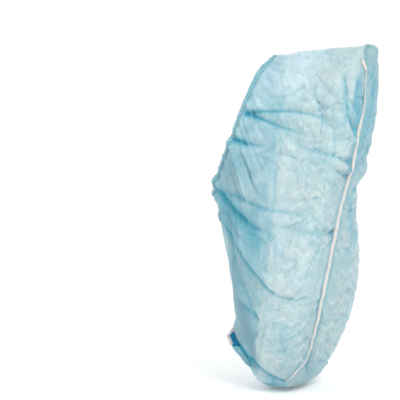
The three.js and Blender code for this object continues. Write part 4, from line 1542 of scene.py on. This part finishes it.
class SHOECOVER_OT_flap(bpy.types.Operator):
    """Makes the toe's flap with its pocket, and the tape's loose end on it"""

    bl_idname = "shoecover.flap"
    bl_label = "Make toe flap"

    def execute(self, context):
        colours = context.scene.cover_colours
        foot, away, side, reach, turn = standing_line(FLAP, FLAP_STEPS)
        run = np.linspace(0, 1, FLAP_STEPS + 1)[:, None]
        across = np.linspace(-1, 1, FLAP_COLUMNS + 1)[None, :]
        opened = smoothstep(run, *POCKET_OPENS)
        height = 1 - np.abs(across) ** FLAP_ARCH
        height = np.where(across > 0, np.maximum(height, opened * POCKET_FACE), height)
        hollow = across * (FLAP_THICK - FLAP_OPEN * opened) * (1 - FLAP_TAPER * height)
        crease = waves(((CREASE_HEIGHT, CREASE_LENGTH, CREASE_SLANT * across),), run)
        crease = crease * (1 - np.abs(across)) + waves(SWAY_WAVES, run)
        aside = turn[:, None] * height + hollow + crease
        out = height * (reach[:, None] + waves(EDGE_WAVES, run)) - FLAP_SUNK
        piece = grid_mesh(FLAP_NAME, to_part(spread(foot, (away, out), (side, aside))))
        # The pocket's painted shadow, and painted shade at the flap's foot and down its faces.
        pocket = smoothstep(run, *POCKET_BLUE) * (across < POCKET_SIDE)
        low = np.clip((np.abs(across) - FOOT_FROM) / FOOT_SPREAD, 0, 1) * np.ones(run.shape)
        streak = hump(np.abs(across) - STREAK_AT, STREAK_SPREAD) * smoothstep(run, *STREAK_STARTS)
        streak = streak * (STREAK_DARK + waves(STREAK_WAVES, run))
        paint(piece, cavity=low, crease=streak, pocket=pocket)
        thicken(piece, FLAP_WALL * MM, offset=0.0)
        dress(piece, nonwoven("flap_cloth", colours), "cloth", "toe_flap")
        foot, away, side, reach, turn = standing_line(TAIL, TAIL_STEPS)
        edge = foot + away * reach[:, None] + side * turn[:, None]
        down = unit(foot - edge)
        wide, high = ring(TAIL_SIDES)
        wobble = 1 + waves(TAIL_WAVES, np.arange(len(edge)))[:, None]
        thick, deep = TAIL_THICK * wide * wobble, TAIL_WIDE * (1 + high) * wobble
        places = spread(edge, (side, thick), (down, deep))
        piece = grid_mesh("tape_tail", to_part(places), tube=True)
        dress(piece, woven_tape("tail_tape", colours), "tape", "seam_tail")
        return {"FINISHED"}


# The floor reaches this far, in metres, and lies this little under the cover's lowest point.
FLOOR_REACH = 6.0
FLOOR_GAP = 0.0002
FLOOR_PARTS = 8
SENSOR_WIDTH = 36

# The lamps: degrees round from the camera and up, metres away and across, and part of the key's power.
LAMPS = (("key_light", 28, 45, 1.3, 0.6, 1.0), ("side_light", -70, 25, 1.6, 0.9, 0.2))


def towards(azimuth, elevation):
    """The direction from the cover to a place round it and up."""
    level = math.cos(elevation)
    return Vector((math.sin(azimuth) * level, -math.cos(azimuth) * level, math.sin(elevation)))


def place_in(scene, name, data, location, way):
    """An object of a scene, looking back along a way."""
    made = bpy.data.objects.new(name, data)
    made.location = location
    made.rotation_euler = (-way).to_track_quat("-Z", "Y").to_euler()
    scene.collection.objects.link(made)
    return made


class SHOECOVER_OT_stage(bpy.types.Operator):
    """Makes the floor, the soft lights and the camera"""

    bl_idname = "shoecover.stage"
    bl_label = "Make stage"

    def execute(self, context):
        scene = context.scene
        stage = scene.cover_stage
        low, high = CAD_BOX
        middle = (low + high) / 2
        bm = bmesh.new()
        bmesh.ops.create_grid(bm, x_segments=FLOOR_PARTS, y_segments=FLOOR_PARTS, size=FLOOR_REACH)
        bmesh.ops.translate(bm, verts=bm.verts, vec=(middle.x, middle.y, low.z - FLOOR_GAP))
        mesh = bpy.data.meshes.new("studio_floor")
        bm.to_mesh(mesh)
        bm.free()
        floor = bpy.data.objects.new("studio_floor", mesh)
        mesh.materials.append(studio_floor("studio_floor", stage.floor))
        scene.collection.objects.link(floor)
        world = bpy.data.worlds.new("studio_sky")
        world.use_nodes = True
        background = world.node_tree.nodes["Background"]
        background.inputs["Color"].default_value = WHITE
        background.inputs["Strength"].default_value = stage.sky
        scene.world = world
        scene.view_settings.view_transform = "Standard"
        for name, turn, rise, away, size, power in LAMPS:
            way = towards(stage.azimuth + math.radians(turn), math.radians(rise))
            light = bpy.data.lights.new(name, "AREA")
            light.shape = "DISK"
            light.size = size
            light.energy = stage.key * power
            place_in(scene, name, light, middle + way * away, way)
        back = towards(stage.azimuth, stage.elevation)
        right = Vector((math.cos(stage.azimuth), math.sin(stage.azimuth), 0))
        up = right.cross(-back)
        camera = bpy.data.cameras.new("camera")
        camera.lens = stage.lens
        camera.sensor_width = SENSOR_WIDTH
        aim = middle - right * stage.aside + up * stage.below
        scene.camera = place_in(scene, "camera", camera, aim + back * stage.distance, back)
        return {"FINISHED"}


class SHOECOVER_PT_panel(bpy.types.Panel):
    """Lists the pieces, the sizes and the colours of the shoe cover"""

    bl_idname = "SHOECOVER_PT_panel"
    bl_label = "Shoe Cover"
    bl_space_type = "VIEW_3D"
    bl_region_type = "UI"
    bl_category = "Shoe Cover"

    def draw(self, context):
        for step in STEPS:
            self.layout.operator(step.bl_idname)
        for name in GROUPS:
            group, box = getattr(context.scene, name), self.layout.box()
            for key in group.__annotations__:
                box.prop(group, key)


GROUPS = {"cover_shape": CoverShape, "cover_colours": CoverColours, "cover_stage": CoverStage}
STEPS = (
    SHOECOVER_OT_stage,
    SHOECOVER_OT_cloth,
    SHOECOVER_OT_collar,
    SHOECOVER_OT_tape,
    SHOECOVER_OT_ribs,
    SHOECOVER_OT_flap,
)
CLASSES = (*GROUPS.values(), *STEPS, SHOECOVER_PT_panel)


def register():
    for cls in CLASSES:
        bpy.utils.register_class(cls)
    for name, group in GROUPS.items():
        setattr(bpy.types.Scene, name, bpy.props.PointerProperty(type=group))


def unregister():
    for name in GROUPS:
        delattr(bpy.types.Scene, name)
    for cls in reversed(CLASSES):
        bpy.utils.unregister_class(cls)


def main():
    register()
    bpy.ops.shoecover.stage()
    bpy.ops.shoecover.cloth()
    bpy.ops.shoecover.collar()
    bpy.ops.shoecover.tape()
    bpy.ops.shoecover.ribs()
    bpy.ops.shoecover.flap()


if __name__ == "__main__":
    main()
